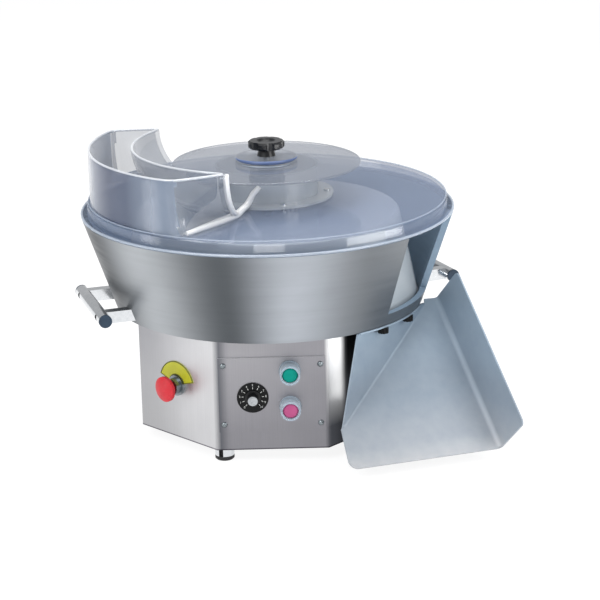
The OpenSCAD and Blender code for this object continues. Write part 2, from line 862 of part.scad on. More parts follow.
// Cable inlet at the back, closed by a plug
module cable_gland() {
    color("black") at_azimuth(back_az, apothem, base_z + gland_lift) translate([gland_shift, 0, 0])
        facing_out() difference() {
            union() {
                translate([0, 0, -base_sheet - gland_tail])
                    cylinder(r = gland_r, h = base_sheet + gland_tail);
                cylinder(r = gland_flange_r, h = gland_len / 2, $fn = 6);
                translate([0, 0, gland_len / 2]) cylinder(r1 = gland_r, r2 = gland_r - gland_bore_r / 2,
                    h = gland_len / 2);
            }
            translate([0, 0, gland_len - gland_recess]) cylinder(r = gland_bore_r, h = gland_recess + over);
        }
}

// Flanged bearing housing, bolted on the bowl's floor
module bearing_housing() {
    color("gray") difference() {
        translate([0, 0, floor_top_z]) {
            cylinder(r = housing_flange_r, h = housing_flange_t);
            cylinder(r = housing_r, h = housing_h);
        }
        translate([0, 0, floor_top_z - over]) cylinder(r = bearing_r - bearing_lip,
            h = housing_h + 2 * over);
        translate([0, 0, bearing_z]) cylinder(r = bearing_r + fit, h = housing_h);
        ring_of(housing_bolt_count, housing_bolt_pitch_r) translate([0, 0, floor_top_z - over])
            cylinder(r = m8_r + fit, h = housing_flange_t + 2 * over);
    }
}

module bearing_bolts() {
    color("silver") ring_of(housing_bolt_count, housing_bolt_pitch_r)
        translate([0, 0, floor_top_z + housing_flange_t])
            screw(m8_r, m8_head_r, m8_head_h, housing_flange_t + bowl_floor_t);
}

module shaft_bearing() {
    color("silver") translate([0, 0, bearing_z]) difference() {
        cylinder(r = bearing_r, h = bearing_h);
        translate([0, 0, -over]) cylinder(r = shaft_r + fit, h = bearing_h + 2 * over);
    }
}

module shaft_seal() {
    color("black") translate([0, 0, bearing_z + bearing_h]) difference() {
        cylinder(r = bearing_r, h = seal_h);
        translate([0, 0, -over]) cylinder(r = shaft_r + fit, h = seal_h + 2 * over);
    }
}

module main_shaft() {
    color("silver") translate([0, 0, deck_z - gear_h])
        cylinder(r = shaft_r, h = cone_top_z - deck_z + gear_h);
}

// Turning cone: open below, with a flat top
module cone() {
    color("gainsboro") difference() {
        rotate_extrude($fn = 180) polygon([[cone_foot_r, cone_foot_z], [cone_top_r, cone_top_z - cone_edge],
            [cone_top_r - cone_edge, cone_top_z], [cone_spigot_r + fit, cone_top_z], [cone_spigot_r + fit,
                hub_top_z],
            [cone_top_r - cone_wall, hub_top_z], [cone_foot_r - cone_wall, cone_foot_z]]);
        ring_of(cone_bolt_count, cone_bolt_pitch_r) translate([0, 0, hub_top_z - over])
            cylinder(r = m8_r + fit, h = cone_wall + 2 * over);
    }
}

module cone_hub() {
    color("darkgray") difference() {
        union() {
            translate([0, 0, hub_top_z - cone_hub_flange_t])
                cylinder(r = cone_hub_flange_r, h = cone_hub_flange_t);
            translate([0, 0, hub_top_z - cone_hub_len]) cylinder(r = cone_hub_r, h = cone_hub_len);
            translate([0, 0, hub_top_z]) cylinder(r = cone_spigot_r, h = cone_wall);
        }
        translate([0, 0, hub_top_z - cone_hub_len - over])
            cylinder(r = shaft_r + fit, h = cone_hub_len + cone_wall + 2 * over);
        ring_of(cone_bolt_count, cone_bolt_pitch_r) translate([0, 0, hub_top_z - cone_hub_flange_t - over])
            cylinder(r = m8_r + fit, h = cone_hub_flange_t + 2 * over);
    }
}

module cone_bolts() {
    color("silver") ring_of(cone_bolt_count, cone_bolt_pitch_r) translate([0, 0, cone_top_z])
        screw(m8_r, m8_head_r, m8_head_h, cone_wall + cone_hub_flange_t);
}

// Domed cap that closes the shaft's end
module cone_cap() {
    color("silver") translate([0, 0, cone_top_z]) rotate_extrude()
        polygon([[0, 0], [cone_cap_r, 0], [cone_cap_r, cone_cap_h / 2],
            [cone_cap_r - cone_cap_h / 2, cone_cap_h], [0, cone_cap_h]]);
}

// Section of the formed lid: flat top, rounded shoulder, flaring skirt and lip
module lid_section() {
    shoulder = [lid_top_r - lid_edge_r, lid_z - lid_edge_r];
    polygon(concat([[0, lid_z - lid_t], [0, lid_z]],
        [for (i = [0 : edge_steps]) let(a = quarter * i / edge_steps)
            shoulder + lid_edge_r * [sin(a), cos(a)]],
        [[lid_lip_r - lid_lip_w, rim_z + lid_lip_t], [lid_lip_r, rim_z + lid_lip_t], [lid_lip_r, rim_z],
            [lid_lip_r - lid_lip_w - lid_t, rim_z]],
        [for (i = [edge_steps : -1 : 0]) let(a = quarter * i / edge_steps)
            shoulder + (lid_edge_r - lid_t) * [sin(a), cos(a)]]));
}

module lid_shell() {
    color("lightblue", 0.4) difference() {
        rotate_extrude($fn = 180) lid_section();
        translate([0, 0, lid_z - lid_t - over]) linear_extrude(lid_t + 2 * over)
            polygon(hopper_ring(0, true));
        ring_of(turret_screw_count, turret_screw_pitch_r, turret_screw_az)
            translate([0, 0, lid_z - lid_t - over])
            cylinder(r = m5_r + fit, h = lid_t + 2 * over);
    }
}

// Outline of the hopper from the azimuths of its four corners
function hopper_outline(out_r, in_r, azs) = concat(
    arc(out_r, azs[0], azs[1], arc_steps), side(polar(out_r, azs[1]), polar(in_r, azs[2]), side_steps),
    arc(in_r, azs[2], azs[3], arc_steps), side(polar(in_r, azs[3]), polar(out_r, azs[0]), side_steps));
hopper_top = hopper_outline(hopper_out_r, hopper_in_r, hopper_top_angles);
hopper_foot = hopper_outline(hopper_out_r, hopper_foot_r, hopper_foot_angles);
hopper_top_inside = hopper_outline(hopper_out_r - lid_t, hopper_in_r + lid_t,
    hopper_top_angles + hopper_inset_angles);
hopper_foot_inside = hopper_outline(hopper_out_r - lid_t, hopper_foot_r + lid_t,
    hopper_foot_angles + hopper_inset_angles);
// Height share of a level, closer together at the foot, and how far the flare has closed in there
function level_share(i) = pow(i / flare_steps, 2);
function flare_share(share) = sqrt(share * (2 - share));
// Outline of the hopper's outside or inside at a level; the inside flare starts a sheet lower
function hopper_ring(i, inside) = let(
    rise = hopper_h * level_share(i),
    share = flare_share(inside ? (rise + lid_t) / (hopper_h + lid_t) : level_share(i)),
    low = inside ? hopper_foot_inside : hopper_foot,
    high = inside ? hopper_top_inside : hopper_top)
    [for (p = [0 : len(low) - 1]) between(low[p], high[p], share)];
function raised(ring, z) = [for (p = ring) [p[0], p[1], z]];

// Inlet hopper: one formed wall, lofted from its foot on the lid up to its rim
module inlet_hopper() {
    count = len(hopper_top);
    levels = concat([for (i = [0 : flare_steps]) raised(hopper_ring(i, false),
        lid_z + hopper_h * level_share(i))],
        [for (i = [flare_steps : -1 : 0]) raised(hopper_ring(i, true), lid_z + hopper_h * level_share(i))]);
    rings = len(levels);
    points = [for (ring = levels) for (p = ring) p];
    faces = [for (m = [0 : rings - 1], p = [0 : count - 1]) let(
        a = m * count + p, b = m * count + (p + 1) % count,
        c = (m + 1) % rings * count + (p + 1) % count, d = (m + 1) % rings * count + p)
        each [[a, b, c], [a, c, d]]];
    color("lightblue", 0.4) polyhedron(points, faces);
}

// Clear turret on the lid's centre
module turret() {
    color("lightblue", 0.4) difference() {
        translate([0, 0, lid_z]) rotate_extrude() polygon([[turret_r - lid_t, 0], [turret_flange_r, 0],
            [turret_flange_r, lid_t], [turret_r, lid_t], [turret_r, turret_h], [turret_r - lid_t,
                turret_h]]);
        ring_of(turret_screw_count, turret_screw_pitch_r, turret_screw_az) translate([0, 0, lid_z - over])
            cylinder(r = m5_r + fit, h = lid_t + 2 * over);
    }
}

module turret_screws() {
    color("silver") ring_of(turret_screw_count, turret_screw_pitch_r, turret_screw_az) {
        translate([0, 0, lid_z + lid_t]) screw(m5_r, m5_head_r, m5_head_h, 2 * lid_t);
        translate([0, 0, lid_z - lid_t - m5_head_h]) cylinder(r = m5_head_r, h = m5_head_h, $fn = 6);
    }
}

// Clear disc with a round edge, overhanging the turret
module upper_disc() {
    color("lightblue", 0.4) difference() {
        translate([0, 0, disc_z]) rotate_extrude($fn = 180) {
            square([disc_r - lid_t / 2, lid_t]);
            translate([disc_r - lid_t / 2, lid_t / 2]) circle(d = lid_t, $fn = 24);
        }
        translate([0, 0, disc_z - over]) cylinder(r = stud_thread_r + fit, h = lid_t + 2 * over);
    }
}

module disc_boss() {
    color("lightsteelblue", 0.6) translate([0, 0, boss_z]) rotate_extrude()
        polygon([[stud_thread_r + fit, 0],
        [boss_r, 0], [boss_r, boss_h - boss_bevel], [boss_r - boss_bevel, boss_h], [stud_thread_r + fit,
            boss_h]]);
}

// Stud that the star knob turns on, headed under the disc
module disc_stud() {
    color("silver") translate([0, 0, disc_z]) {
        translate([0, 0, -disc_stud_head_h]) cylinder(r = disc_stud_head_r, h = disc_stud_head_h, $fn = 6);
        cylinder(r = stud_thread_r, h = lid_t + boss_h + star_socket_h - over);
    }
}

// Lobed hand knob with a dished top
module star_knob() {
    head_z = star_stem_h;
    scallop_r = star_r * star_scallop_share;
    color("black") translate([0, 0, star_z]) difference() {
        union() {
            cylinder(r1 = star_stem_r, r2 = star_stem_r - star_dish_h, h = star_stem_h);
            translate([0, 0, head_z]) intersection() {
                linear_extrude(star_head_h) difference() {
                    circle(r = star_r);
                    for (i = [0 : star_lobes - 1]) rotate((2 * i + 1) * 180 / star_lobes)
                        translate([star_r + scallop_r / 2, 0]) circle(r = scallop_r);
                }
                rotate_extrude() polygon([[0, 0], [star_r - star_dish_h, 0], [star_r, star_dish_h],
                    [star_r, star_head_h - star_dish_h], [star_r - star_dish_h, star_head_h], [0,
                        star_head_h]]);
            }
        }
        translate([0, 0, star_stem_h + star_head_h - star_dish_h])
            cylinder(r1 = star_dish_r - star_dish_h, r2 = star_dish_r, h = star_dish_h + fit);
        translate([0, 0, -over]) cylinder(r = stud_thread_r + fit, h = star_socket_h + over);
    }
}

// Chute floor: its own plane, with the origin at the lower right corner
module on_chute_floor() {
    translate(concat(polar(chute_corner_r, chute_corner_az), chute_drop)) rotate([0, 0, chute_az])
        rotate([chute_tilt, 0, 0]) children();
}

// A point of the floor in the part's frame
function floor_point(uv) = concat(polar(chute_corner_r, chute_corner_az), chute_drop)
    + uv[0] * [cos(chute_az), sin(chute_az), 0]
    + uv[1] * [-sin(chute_az) * cos(chute_tilt), cos(chute_az) * cos(chute_tilt), sin(chute_tilt)];
chute_top = [chute_top_shares[0] * chute_w, chute_top_shares[1] * chute_len];
chute_crest = [chute_crest_shares[0] * chute_w, chute_crest_shares[1] * chute_len];
chute_neck = [chute_neck_shares[0] * chute_w, chute_neck_shares[1] * chute_len];
chute_low = [chute_low_shares[0] * chute_w, chute_low_shares[1] * chute_len];
plate_low = floor_point(chute_low);
plate_neck = floor_point(chute_neck);
plate_run = [plate_neck[0] - plate_low[0], plate_neck[1] - plate_low[1]];
plate_az = atan2(plate_run[1], plate_run[0]);
plate_len = norm(plate_run);
plate_lean = chute_plate_lean_share * plate_len;

fold_run = norm(chute_top);
fold_turn = atan2(chute_top[1], chute_top[0]) - quarter;
fold_across = [cos(fold_turn), sin(fold_turn)];
fold_low = chute_inset * sin(fold_turn);
bend_middle = [-chute_bend_r * tan(chute_bend / 2), chute_bend_r];
wing_rise = [cos(chute_bend), sin(chute_bend)];
wing_out = [sin(chute_bend), -cos(chute_bend)];

// Bent sheet: sloping floor, side wing, upright plate and the flange that hangs from the bowl
module chute() {
    color("lightslategray") difference() {
        union() {
            chute_fold();
            chute_plate();
            chute_flange();
        }
        for (az = [thumb_front_az, thumb_rear_az]) at_azimuth(az, thumb_pitch_r, bowl_z - chute_t - over)
            cylinder(r = thumb_r + hole_gap, h = chute_t + 2 * over);
    }
}

// Floor and wing folded from one sheet, then cut to their outlines
module chute_fold() {
    on_chute_floor() difference() {
        intersection() {
            rotate([0, 0, fold_turn]) translate([0, fold_run + chute_spare, 0]) facing_out()
                linear_extrude(fold_run + 2 * chute_spare) chute_section();
            translate([0, 0, -chute_spare]) linear_extrude(chute_wing_h + 2 * chute_spare) chute_outline();
        }
        rotate([0, 0, quarter + fold_turn]) rotate([2 * quarter - chute_bend, 0, 0])
            translate([0, 0, -chute_t]) linear_extrude(3 * chute_t) {
                translate([fold_low + chute_wing_round - chute_ease, 0]) wing_corner(-chute_spare);
                translate([fold_run - chute_wing_round + chute_ease, 0]) wing_corner(0);
            }
    }
}

// Section across the fold: floor, bend and wing
module chute_section() {
    polygon(concat([[-chute_w - chute_spare, 0]],
        corner(bend_middle, chute_bend_r, -quarter, chute_bend - quarter),
        [chute_wing_h * wing_rise, chute_wing_h * wing_rise + chute_t * wing_out],
        corner(bend_middle, chute_bend_r + chute_t, chute_bend - quarter, -quarter),
        [[-chute_w - chute_spare, -chute_t]]));
}

// Outline of the floor, open past the fold for the wing
module chute_outline() {
    foot = [-chute_inset, 0];
    head = chute_top - chute_inset * fold_across;
    polygon(concat([foot, foot + chute_spare * fold_across, head + chute_spare * fold_across, head],
        [chute_crest, chute_neck, chute_low],
        corner([chute_round - chute_w, chute_round], chute_round, 2 * quarter, 3 * quarter)));
}

// What a rounded upper corner takes off the wing
module wing_corner(start) {
    translate([0, chute_wing_h - chute_wing_round + chute_ease]) difference() {
        translate([start, 0]) square(chute_spare);
        circle(r = chute_wing_round);
    }
}

// Upright plate between the sloping fold and the flange
module chute_plate() {
    translate([plate_low[0], plate_low[1], 0]) rotate([0, 0, plate_az]) facing_out()
        translate([0, 0, -chute_mid])
        linear_extrude(chute_t) polygon([[chute_t, plate_low[2] - chute_t],
            [plate_len - chute_t, plate_neck[2] - chute_t], [plate_len - chute_t, bowl_z - chute_mid],
            [plate_lean, bowl_z - chute_mid]]);
}

// Level flange under the bowl's lower edge
module chute_flange() {
    intersection() {
        translate([0, 0, bowl_z - chute_t]) cylinder(r = chute_flange_r, h = chute_t, $fn = 180);
        translate([plate_low[0], plate_low[1], bowl_z - chute_t]) rotate([0, 0, plate_az])
            translate([plate_lean + chute_inset, -chute_flange_w, 0])
                cube([plate_len - plate_lean - 2 * chute_inset, chute_flange_w, chute_t]);
    }
}

// Hand screw under the flange, ribbed round its rim
module thumb_screw(az) {
    color("black") at_azimuth(az, thumb_pitch_r, bowl_z - chute_t - fit - thumb_knob_h) {
        difference() {
            cylinder(r = thumb_knob_r, h = thumb_knob_h);
            for (i = [0 : thumb_knob_grips - 1]) rotate([0, 0, i * 360 / thumb_knob_grips])
                translate([thumb_knob_r, 0, -over]) cylinder(r = thumb_grip_r, h = thumb_knob_h + 2 * over);
        }
        translate([0, 0, thumb_knob_h]) cylinder(r = thumb_r, h = chute_t + thumb_depth - over);
    }
}
module front_thumb_screw() {
    thumb_screw(thumb_front_az);
}

module rear_thumb_screw() {
    thumb_screw(thumb_rear_az);
}

base_housing();
base_plate();
base_plate_screws();
foot_sleeves();
foot_pads();
foot_studs();
deck_plate();
bowl();
bowl_floor();
bowl_bolts();
handle_bars();
handle_arms();
handle_caps();
handle_screws();
control_panel();
panel_screws();
start_sleeve();
start_lens();
start_contact_block();
stop_sleeve();
stop_lens();
stop_contact_block();
dial_plate();
speed_knob();
speed_knob_cap();
knob_spindle();
potentiometer();
estop_collar();
estop_locknut();
estop_contact_block();
estop_legend();
estop_plunger();
estop_head();
gearbox();
gearbox_bolts();
motor();
motor_end_cap();
speed_controller();
cable_gland();
bearing_housing();
bearing_bolts();
shaft_bearing();
shaft_seal();
main_shaft();
cone();
cone_hub();
cone_bolts();
cone_cap();
lid_shell();
inlet_hopper();
turret();
turret_screws();
upper_disc();
disc_boss();
disc_stud();
star_knob();
chute();
front_thumb_screw();
rear_thumb_screw();
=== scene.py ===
"""Looks for a bench-top conical dough rounder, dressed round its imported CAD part.

All lengths are in metres in the part's own frame: origin on the rotor axis at table level, +Z up and the
control panel facing -Y. Azimuths are in degrees from the front, positive towards +X.
"""

import logging
import math
from dataclasses import dataclass
from enum import Enum
from functools import cache
from typing import Iterable, Sequence, Union

import bmesh
import bpy
from mathutils import Matrix, Vector


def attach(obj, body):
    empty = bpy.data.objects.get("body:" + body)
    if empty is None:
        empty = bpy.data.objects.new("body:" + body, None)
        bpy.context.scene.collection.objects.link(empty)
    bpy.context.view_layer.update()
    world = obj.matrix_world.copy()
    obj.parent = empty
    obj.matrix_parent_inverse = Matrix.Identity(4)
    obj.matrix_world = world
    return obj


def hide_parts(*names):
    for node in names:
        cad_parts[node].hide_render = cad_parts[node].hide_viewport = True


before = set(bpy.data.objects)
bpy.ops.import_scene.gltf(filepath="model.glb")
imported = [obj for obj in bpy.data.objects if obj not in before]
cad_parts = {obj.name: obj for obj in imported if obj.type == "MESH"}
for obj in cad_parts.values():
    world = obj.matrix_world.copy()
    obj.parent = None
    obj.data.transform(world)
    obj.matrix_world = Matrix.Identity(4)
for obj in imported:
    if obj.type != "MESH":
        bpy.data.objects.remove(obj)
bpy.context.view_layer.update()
LOG = logging.getLogger("dough_rounder")
MM = 0.001
SMOOTH_ANGLE = math.radians(32)
MERGE_GAP = 1e-6

# Noise that keeps a surface from looking flat: its sizes, its detail and the part of its range in use
MOTTLE_MM = 90.0
TONE_MM = 18.0
CLOUD_MM = 60.0
STREAK_DETAIL = 5.0
SOFT_DETAIL = 3.0
GRAIN_DETAIL = 2.0
NOISE_SPAN = (0.3, 0.7)
TWO_NOISE_SPAN = (0.7, 1.3)
# How far roughness strays to both sides of its middle, and how deep the relief is
STREAK_SPREAD = 0.05
GRAIN_SPREAD = 0.06
CLOUD_SPREAD = 0.03
STREAK_DEPTH = 0.3 * MM
GRAIN_DEPTH = 0.1 * MM
# Refraction of clear plastic, and the gloss at which it counts as seen face-on and edge-on
PLASTIC_IOR = 1.45
TURNED_SPAN = (0.1, 0.5)
# How squarely a face looks away from the rotor axis where a lining ends and the outside begins
OUTWARD_SPAN = (0.4, 0.7)

Tree = bpy.types.NodeTree
Node = bpy.types.Node
Socket = bpy.types.NodeSocket
Material = bpy.types.Material
Mesh = bpy.types.Mesh
Value = Union[Socket, float, tuple]
Span = tuple[float, float]
Spot = tuple[float, float, float]
Stops = tuple[tuple[float, str], ...]
Ring = list[Vector]
Path = tuple[Ring, bool]


class Lay(Enum):
    """Direction in which a metal surface was brushed."""

    LEVEL = "level"
    UPRIGHT = "upright"
    NONE = "none"


class Body(str, Enum):
    """Names of the CAD bodies that the scene's own pieces ride on."""

    MACHINE = "machine"
    LID = "lid"


class Axis(Enum):
    """What a broad reflection changes with."""

    TURN = "azimuth in degrees"
    ACROSS = "x in millimetres"
    RISE = "height in millimetres"


def linear(code: str) -> tuple[float, float, float, float]:
    """Turns an sRGB hex colour into linear values.

    Args:
        code: colour as "#rrggbb".

    Returns:
        Linear red, green and blue, with an alpha of 1.
    """
    parts = [int(code[i : i + 2], 16) / 255 for i in (1, 3, 5)]
    lin = [c / 12.92 if c <= 0.04045 else ((c + 0.055) / 1.055) ** 2.4 for c in parts]
    return (lin[0], lin[1], lin[2], 1.0)


def per(size_mm: float) -> float:
    """Gives the texture scale whose features have a size in millimetres."""
    return 1 / (size_mm * MM)


def around(middle: float, spread: float) -> Span:
    """Gives the span that reaches a spread to both sides of a middle."""
    return middle - spread, middle + spread


def wire(tree: Tree, node: Node, inputs: dict[str | int, Value]) -> None:
    """Sets a node's inputs, by name or index, to the sockets that feed them or to constant values."""
    for key, source in inputs.items():
        if isinstance(source, Socket):
            tree.links.new(source, node.inputs[key])
        else:
            node.inputs[key].default_value = source


def add(tree: Tree, kind: str, inputs: dict[str | int, Value] | None = None, **settings) -> Node:
    """Adds a node to a tree.

    Args:
        tree: tree that takes the node.
        kind: the node's type name.
        inputs: what its inputs take, as in wire.
        settings: attributes to set on the node before its inputs.

    Returns:
        The new node.
    """
    node = tree.nodes.new(kind)
    for key, value in settings.items():
        setattr(node, key, value)
    wire(tree, node, inputs or {})
    return node


def math_node(tree: Tree, operation: str, *values: Value, **settings) -> Socket:
    """Adds a sum on sockets and numbers, and gives its result."""
    return add(tree, "ShaderNodeMath", dict(enumerate(values)), operation=operation, **settings).outputs[0]


def mapped(tree: Tree, value: Socket, source: Span = (0.0, 1.0), target: Span = (0.0, 1.0)) -> Socket:
    """Maps a value from one span to another, held at both ends."""
    inputs = {"Value": value, 1: source[0], 2: source[1], 3: target[0], 4: target[1]}
    return add(tree, "ShaderNodeMapRange", inputs).outputs[0]


def mixed(tree: Tree, share: Value, low: Value, high: Value, blend: str = "MIX") -> Socket:
    """Mixes two colours by the second one's share, and gives the result."""
    inputs = {0: share, 6: low, 7: high}
    return add(tree, "ShaderNodeMix", inputs, data_type="RGBA", blend_type=blend).outputs[2]


def noise(tree: Tree, spot: Socket, scale: float, detail: float) -> Socket:
    """Adds noise and gives its strength."""
    return add(tree, "ShaderNodeTexNoise", {"Vector": spot, "Scale": scale, "Detail": detail}).outputs[0]


def relief(tree: Tree, height: Socket, strength: float, depth: float) -> Socket:
    """Adds a relief and gives its normal."""
    inputs = {"Height": height, "Strength": strength, "Distance": depth}
    return add(tree, "ShaderNodeBump", inputs).outputs[0]


def principled(name: str, constants: dict[str, float]) -> tuple[Material, Tree, Node, Socket]:
    """Starts a material on the standard shader.

    Args:
        name: the material's name.
        constants: shader inputs that are the same all over the surface.

    Returns:
        The material, its tree, its shader and its object coordinates.
    """
    mat = bpy.data.materials.new(name)
    mat.use_nodes = True
    tree = mat.node_tree
    shader = tree.nodes["Principled BSDF"]
    wire(tree, shader, constants)
    return mat, tree, shader, add(tree, "ShaderNodeTexCoord").outputs["Object"]


def ramp(node: Node, stops: Sequence[tuple[float, str]]) -> None:
    """Sets a colour ramp's stops from places and hex colours."""
    points = node.color_ramp.elements
    while len(points) < len(stops):
        points.new(0.5)
    for point, (place, code) in zip(points, stops):
        point.position = place
        point.color = linear(code)


def polar(radius: float, azimuth: float, z: float = 0.0) -> Vector:
    """Gives the point at a radius and azimuth, at height z."""
    turn = math.radians(azimuth)
    return Vector((radius * math.sin(turn), -radius * math.cos(turn), z))


def facing(azimuth: float, apothem: float, u: float, z: float) -> Matrix:
    """Gives the frame of a spot on an upright face: X to the right, Y up, Z outwards.

    Args:
        azimuth: direction that the face looks in.
        apothem: distance of the face from the rotor axis.
        u: distance along the face to the right of its middle.
        z: height of the spot.

    Returns:
        The frame as a matrix.
    """
    turn = Matrix.Rotation(math.radians(azimuth), 4, "Z")
    return turn @ Matrix.Translation((u, -apothem, z)) @ Matrix.Rotation(math.radians(90), 4, "X")


@dataclass(frozen=True)
class Sheen:
    """Painted broad soft reflection or shade along one axis, which can change between two heights of a
    piece.
    """

    axis: Axis
    stops: Stops
    low_stops: Stops = ()
    rise_mm: Span = (0.0, 1.0)

    def place(self, tree: Tree, split: Node) -> Socket:
        """Gives the socket that runs along the axis, in the axis's own unit."""
        x, y, z = split.outputs
        if self.axis is Axis.TURN:
            turn = math_node(tree, "ARCTAN2", x, math_node(tree, "MULTIPLY", y, -1.0))
            return math_node(tree, "DEGREES", turn)
        return math_node(tree, "MULTIPLY", x if self.axis is Axis.ACROSS else z, 1 / MM)

    def band(self, tree: Tree, along: Socket, stops: Stops) -> Socket:
        """Builds one ramp of colours along the axis."""
        first, last = stops[0][0], stops[-1][0]
        band = add(tree, "ShaderNodeValToRGB", {0: mapped(tree, along, (first, last))})
        band.color_ramp.interpolation = "EASE"
        ramp(band, [((place - first) / (last - first), code) for place, code in stops])
        return band.outputs[0]

    def colour(self, tree: Tree, spot: Socket) -> Socket:
        """Builds the painted reflection's colour."""
        split = add(tree, "ShaderNodeSeparateXYZ", {0: spot})
        along = self.place(tree, split)
        high = self.band(tree, along, self.stops)
        if not self.low_stops:
            return high
        low = self.band(tree, along, self.low_stops)
        foot, head = (rise * MM for rise in self.rise_mm)
        return mixed(tree, mapped(tree, split.outputs[2], (foot, head)), low, high)


@dataclass(frozen=True)
class Lining:
    """Duller skin on the inside and the cut edges of a sheet piece, told apart by where a face looks."""

    colour: str
    metallic: float

    def outward(self, tree: Tree, spot: Socket) -> Socket:
        """Builds the share of the outside skin: 1 where a face looks away from the rotor axis."""
        away = add(tree, "ShaderNodeVectorMath", {0: spot, 1: (1, 1, 0)}, operation="MULTIPLY")
        unit = add(tree, "ShaderNodeVectorMath", {0: away.outputs[0]}, operation="NORMALIZE")
        normal = add(tree, "ShaderNodeNewGeometry").outputs["True Normal"]
        look = add(tree, "ShaderNodeVectorMath", {0: unit.outputs[0], 1: normal}, operation="DOT_PRODUCT")
        return mapped(tree, look.outputs["Value"], OUTWARD_SPAN)


@dataclass(frozen=True)
class BrushedSteel:
    """Brushed or satin metal: streaks along the lay and painted broad soft reflections across it."""

    name: str
    pale: str
    deep: str
    roughness: float
    lay: Lay = Lay.LEVEL
    streak_mm: float = 1.2
    run_mm: float = 160.0
    sheens: tuple[Sheen, ...] = ()
    bump: float = 0.04
    metallic: float = 1.0
    lining: Lining | None = None

    def material(self) -> Material:
        """Builds the material."""
        mat, tree, shader, spot = principled(self.name, {"Metallic": self.metallic})
        fine, run = per(self.streak_mm), per(self.run_mm)
        scales = {Lay.LEVEL: (run, run, fine), Lay.UPRIGHT: (fine, fine, run), Lay.NONE: (fine, fine, fine)}
        lay = add(tree, "ShaderNodeMapping", {"Vector": spot, "Scale": scales[self.lay]})
        streak = noise(tree, lay.outputs[0], 1.0, STREAK_DETAIL)
        mottle = noise(tree, spot, per(MOTTLE_MM), SOFT_DETAIL)
        share = mapped(tree, math_node(tree, "ADD", streak, mottle), TWO_NOISE_SPAN)
        colour = mixed(tree, share, linear(self.deep), linear(self.pale))
        # Painted reflections and shade, multiplied into the colour
        for sheen in self.sheens:
            colour = mixed(tree, 1.0, colour, sheen.colour(tree, spot), "MULTIPLY")
        if self.lining is not None:
            outward = self.lining.outward(tree, spot)
            colour = mixed(tree, outward, linear(self.lining.colour), colour)
            metallic = mapped(tree, outward, target=(self.lining.metallic, self.metallic))
            wire(tree, shader, {"Metallic": metallic})
        rough = mapped(tree, streak, NOISE_SPAN, around(self.roughness, STREAK_SPREAD))
        normal = relief(tree, streak, self.bump, STREAK_DEPTH)
        wire(tree, shader, {"Base Color": colour, "Roughness": rough, "Normal": normal})
        return mat


@dataclass(frozen=True)
class Moulded:
    """Moulded plastic, rubber or paint: a fine grain and a slight change of tone."""

    name: str
    pale: str
    deep: str
    roughness: float
    grain_mm: float = 0.8
    bump: float = 0.15
    metallic: float = 0.0
    coat: float = 0.0
    gloss: float = 0.5

    def material(self) -> Material:
        """Builds the material."""
        constants = {"Metallic": self.metallic, "Coat Weight": self.coat, "Specular IOR Level": self.gloss}
        mat, tree, shader, spot = principled(self.name, constants)
        tone = noise(tree, spot, per(TONE_MM), SOFT_DETAIL)
        grain = noise(tree, spot, per(self.grain_mm), GRAIN_DETAIL)
        colour = mixed(tree, mapped(tree, tone, NOISE_SPAN), linear(self.deep), linear(self.pale))
        rough = mapped(tree, grain, target=around(self.roughness, GRAIN_SPREAD))
        normal = relief(tree, grain, self.bump, GRAIN_DEPTH)
        wire(tree, shader, {"Base Color": colour, "Roughness": rough, "Normal": normal})
        return mat


@dataclass(frozen=True)
class ClearSheet:
    """Formed clear plastic, thin enough to see straight through, with gloss that grows towards its edges,
    where a pale colour is painted in as reflection.
    """

    name: str
    pale: str
    deep: str
    body: float
    edge: float
    glance: str
    roughness: float = 0.07
    sheen: Sheen | None = None
    ior: float = 2.2

    def material(self) -> Material:
        """Builds the material: the share that stays in the sheet grows as it is seen edge-on."""
        mat, tree, shader, spot = principled(self.name, {"IOR": self.ior})
        cloud = noise(tree, spot, per(CLOUD_MM), SOFT_DETAIL)
        body = mixed(tree, mapped(tree, cloud, NOISE_SPAN), linear(self.deep), linear(self.pale))
        # Painted reflection and shade, multiplied into the body colour
        if self.sheen is not None:
            body = mixed(tree, 1.0, body, self.sheen.colour(tree, spot), "MULTIPLY")
        rough = mapped(tree, cloud, target=around(self.roughness, CLOUD_SPREAD))
        gloss = add(tree, "ShaderNodeFresnel", {"IOR": PLASTIC_IOR})
        turned = mapped(tree, gloss.outputs[0], TURNED_SPAN)
        # Painted reflection: the colour turns to the pale glance colour as the sheet is seen edge-on
        colour = mixed(tree, turned, body, linear(self.glance))
        kept = mapped(tree, turned, target=(self.body, self.edge))
        wire(tree, shader, {"Base Color": colour, "Roughness": rough, "Alpha": kept})
        return mat


Finish = Union[BrushedSteel, Moulded, ClearSheet]

# Painted reflection across the casing's front face and the panel: upper and lower tones, the lower darker
# towards the foot
FRONT_HIGH = ((-83, "#64666c"), (-62, "#a3a2a6"), (80, "#949398"))
FRONT_LOW = ((-83, "#5e6066"), (-62, "#8e8d92"), (80, "#88878c"))
FRONT_RISE = (55.0, 175.0)
FRONT_APOTHEM = 203.0


def round_front(stops: Stops) -> Stops:
    """Turns places across the casing's front face into azimuths."""
    return tuple((math.degrees(math.atan2(x, FRONT_APOTHEM)), code) for x, code in stops)


# Painted reflections: broad upright bands of light and dark round the bowl
BOWL_SHEEN = Sheen(Axis.TURN, (
    (-180, "#8a8d91"), (-90, "#747679"), (-66, "#505458"), (-43, "#b2b6ba"), (-14, "#5c6064"),
    (7, "#b4b9c0"), (32, "#868a8e"), (60, "#94989c"), (180, "#8a8d91")))
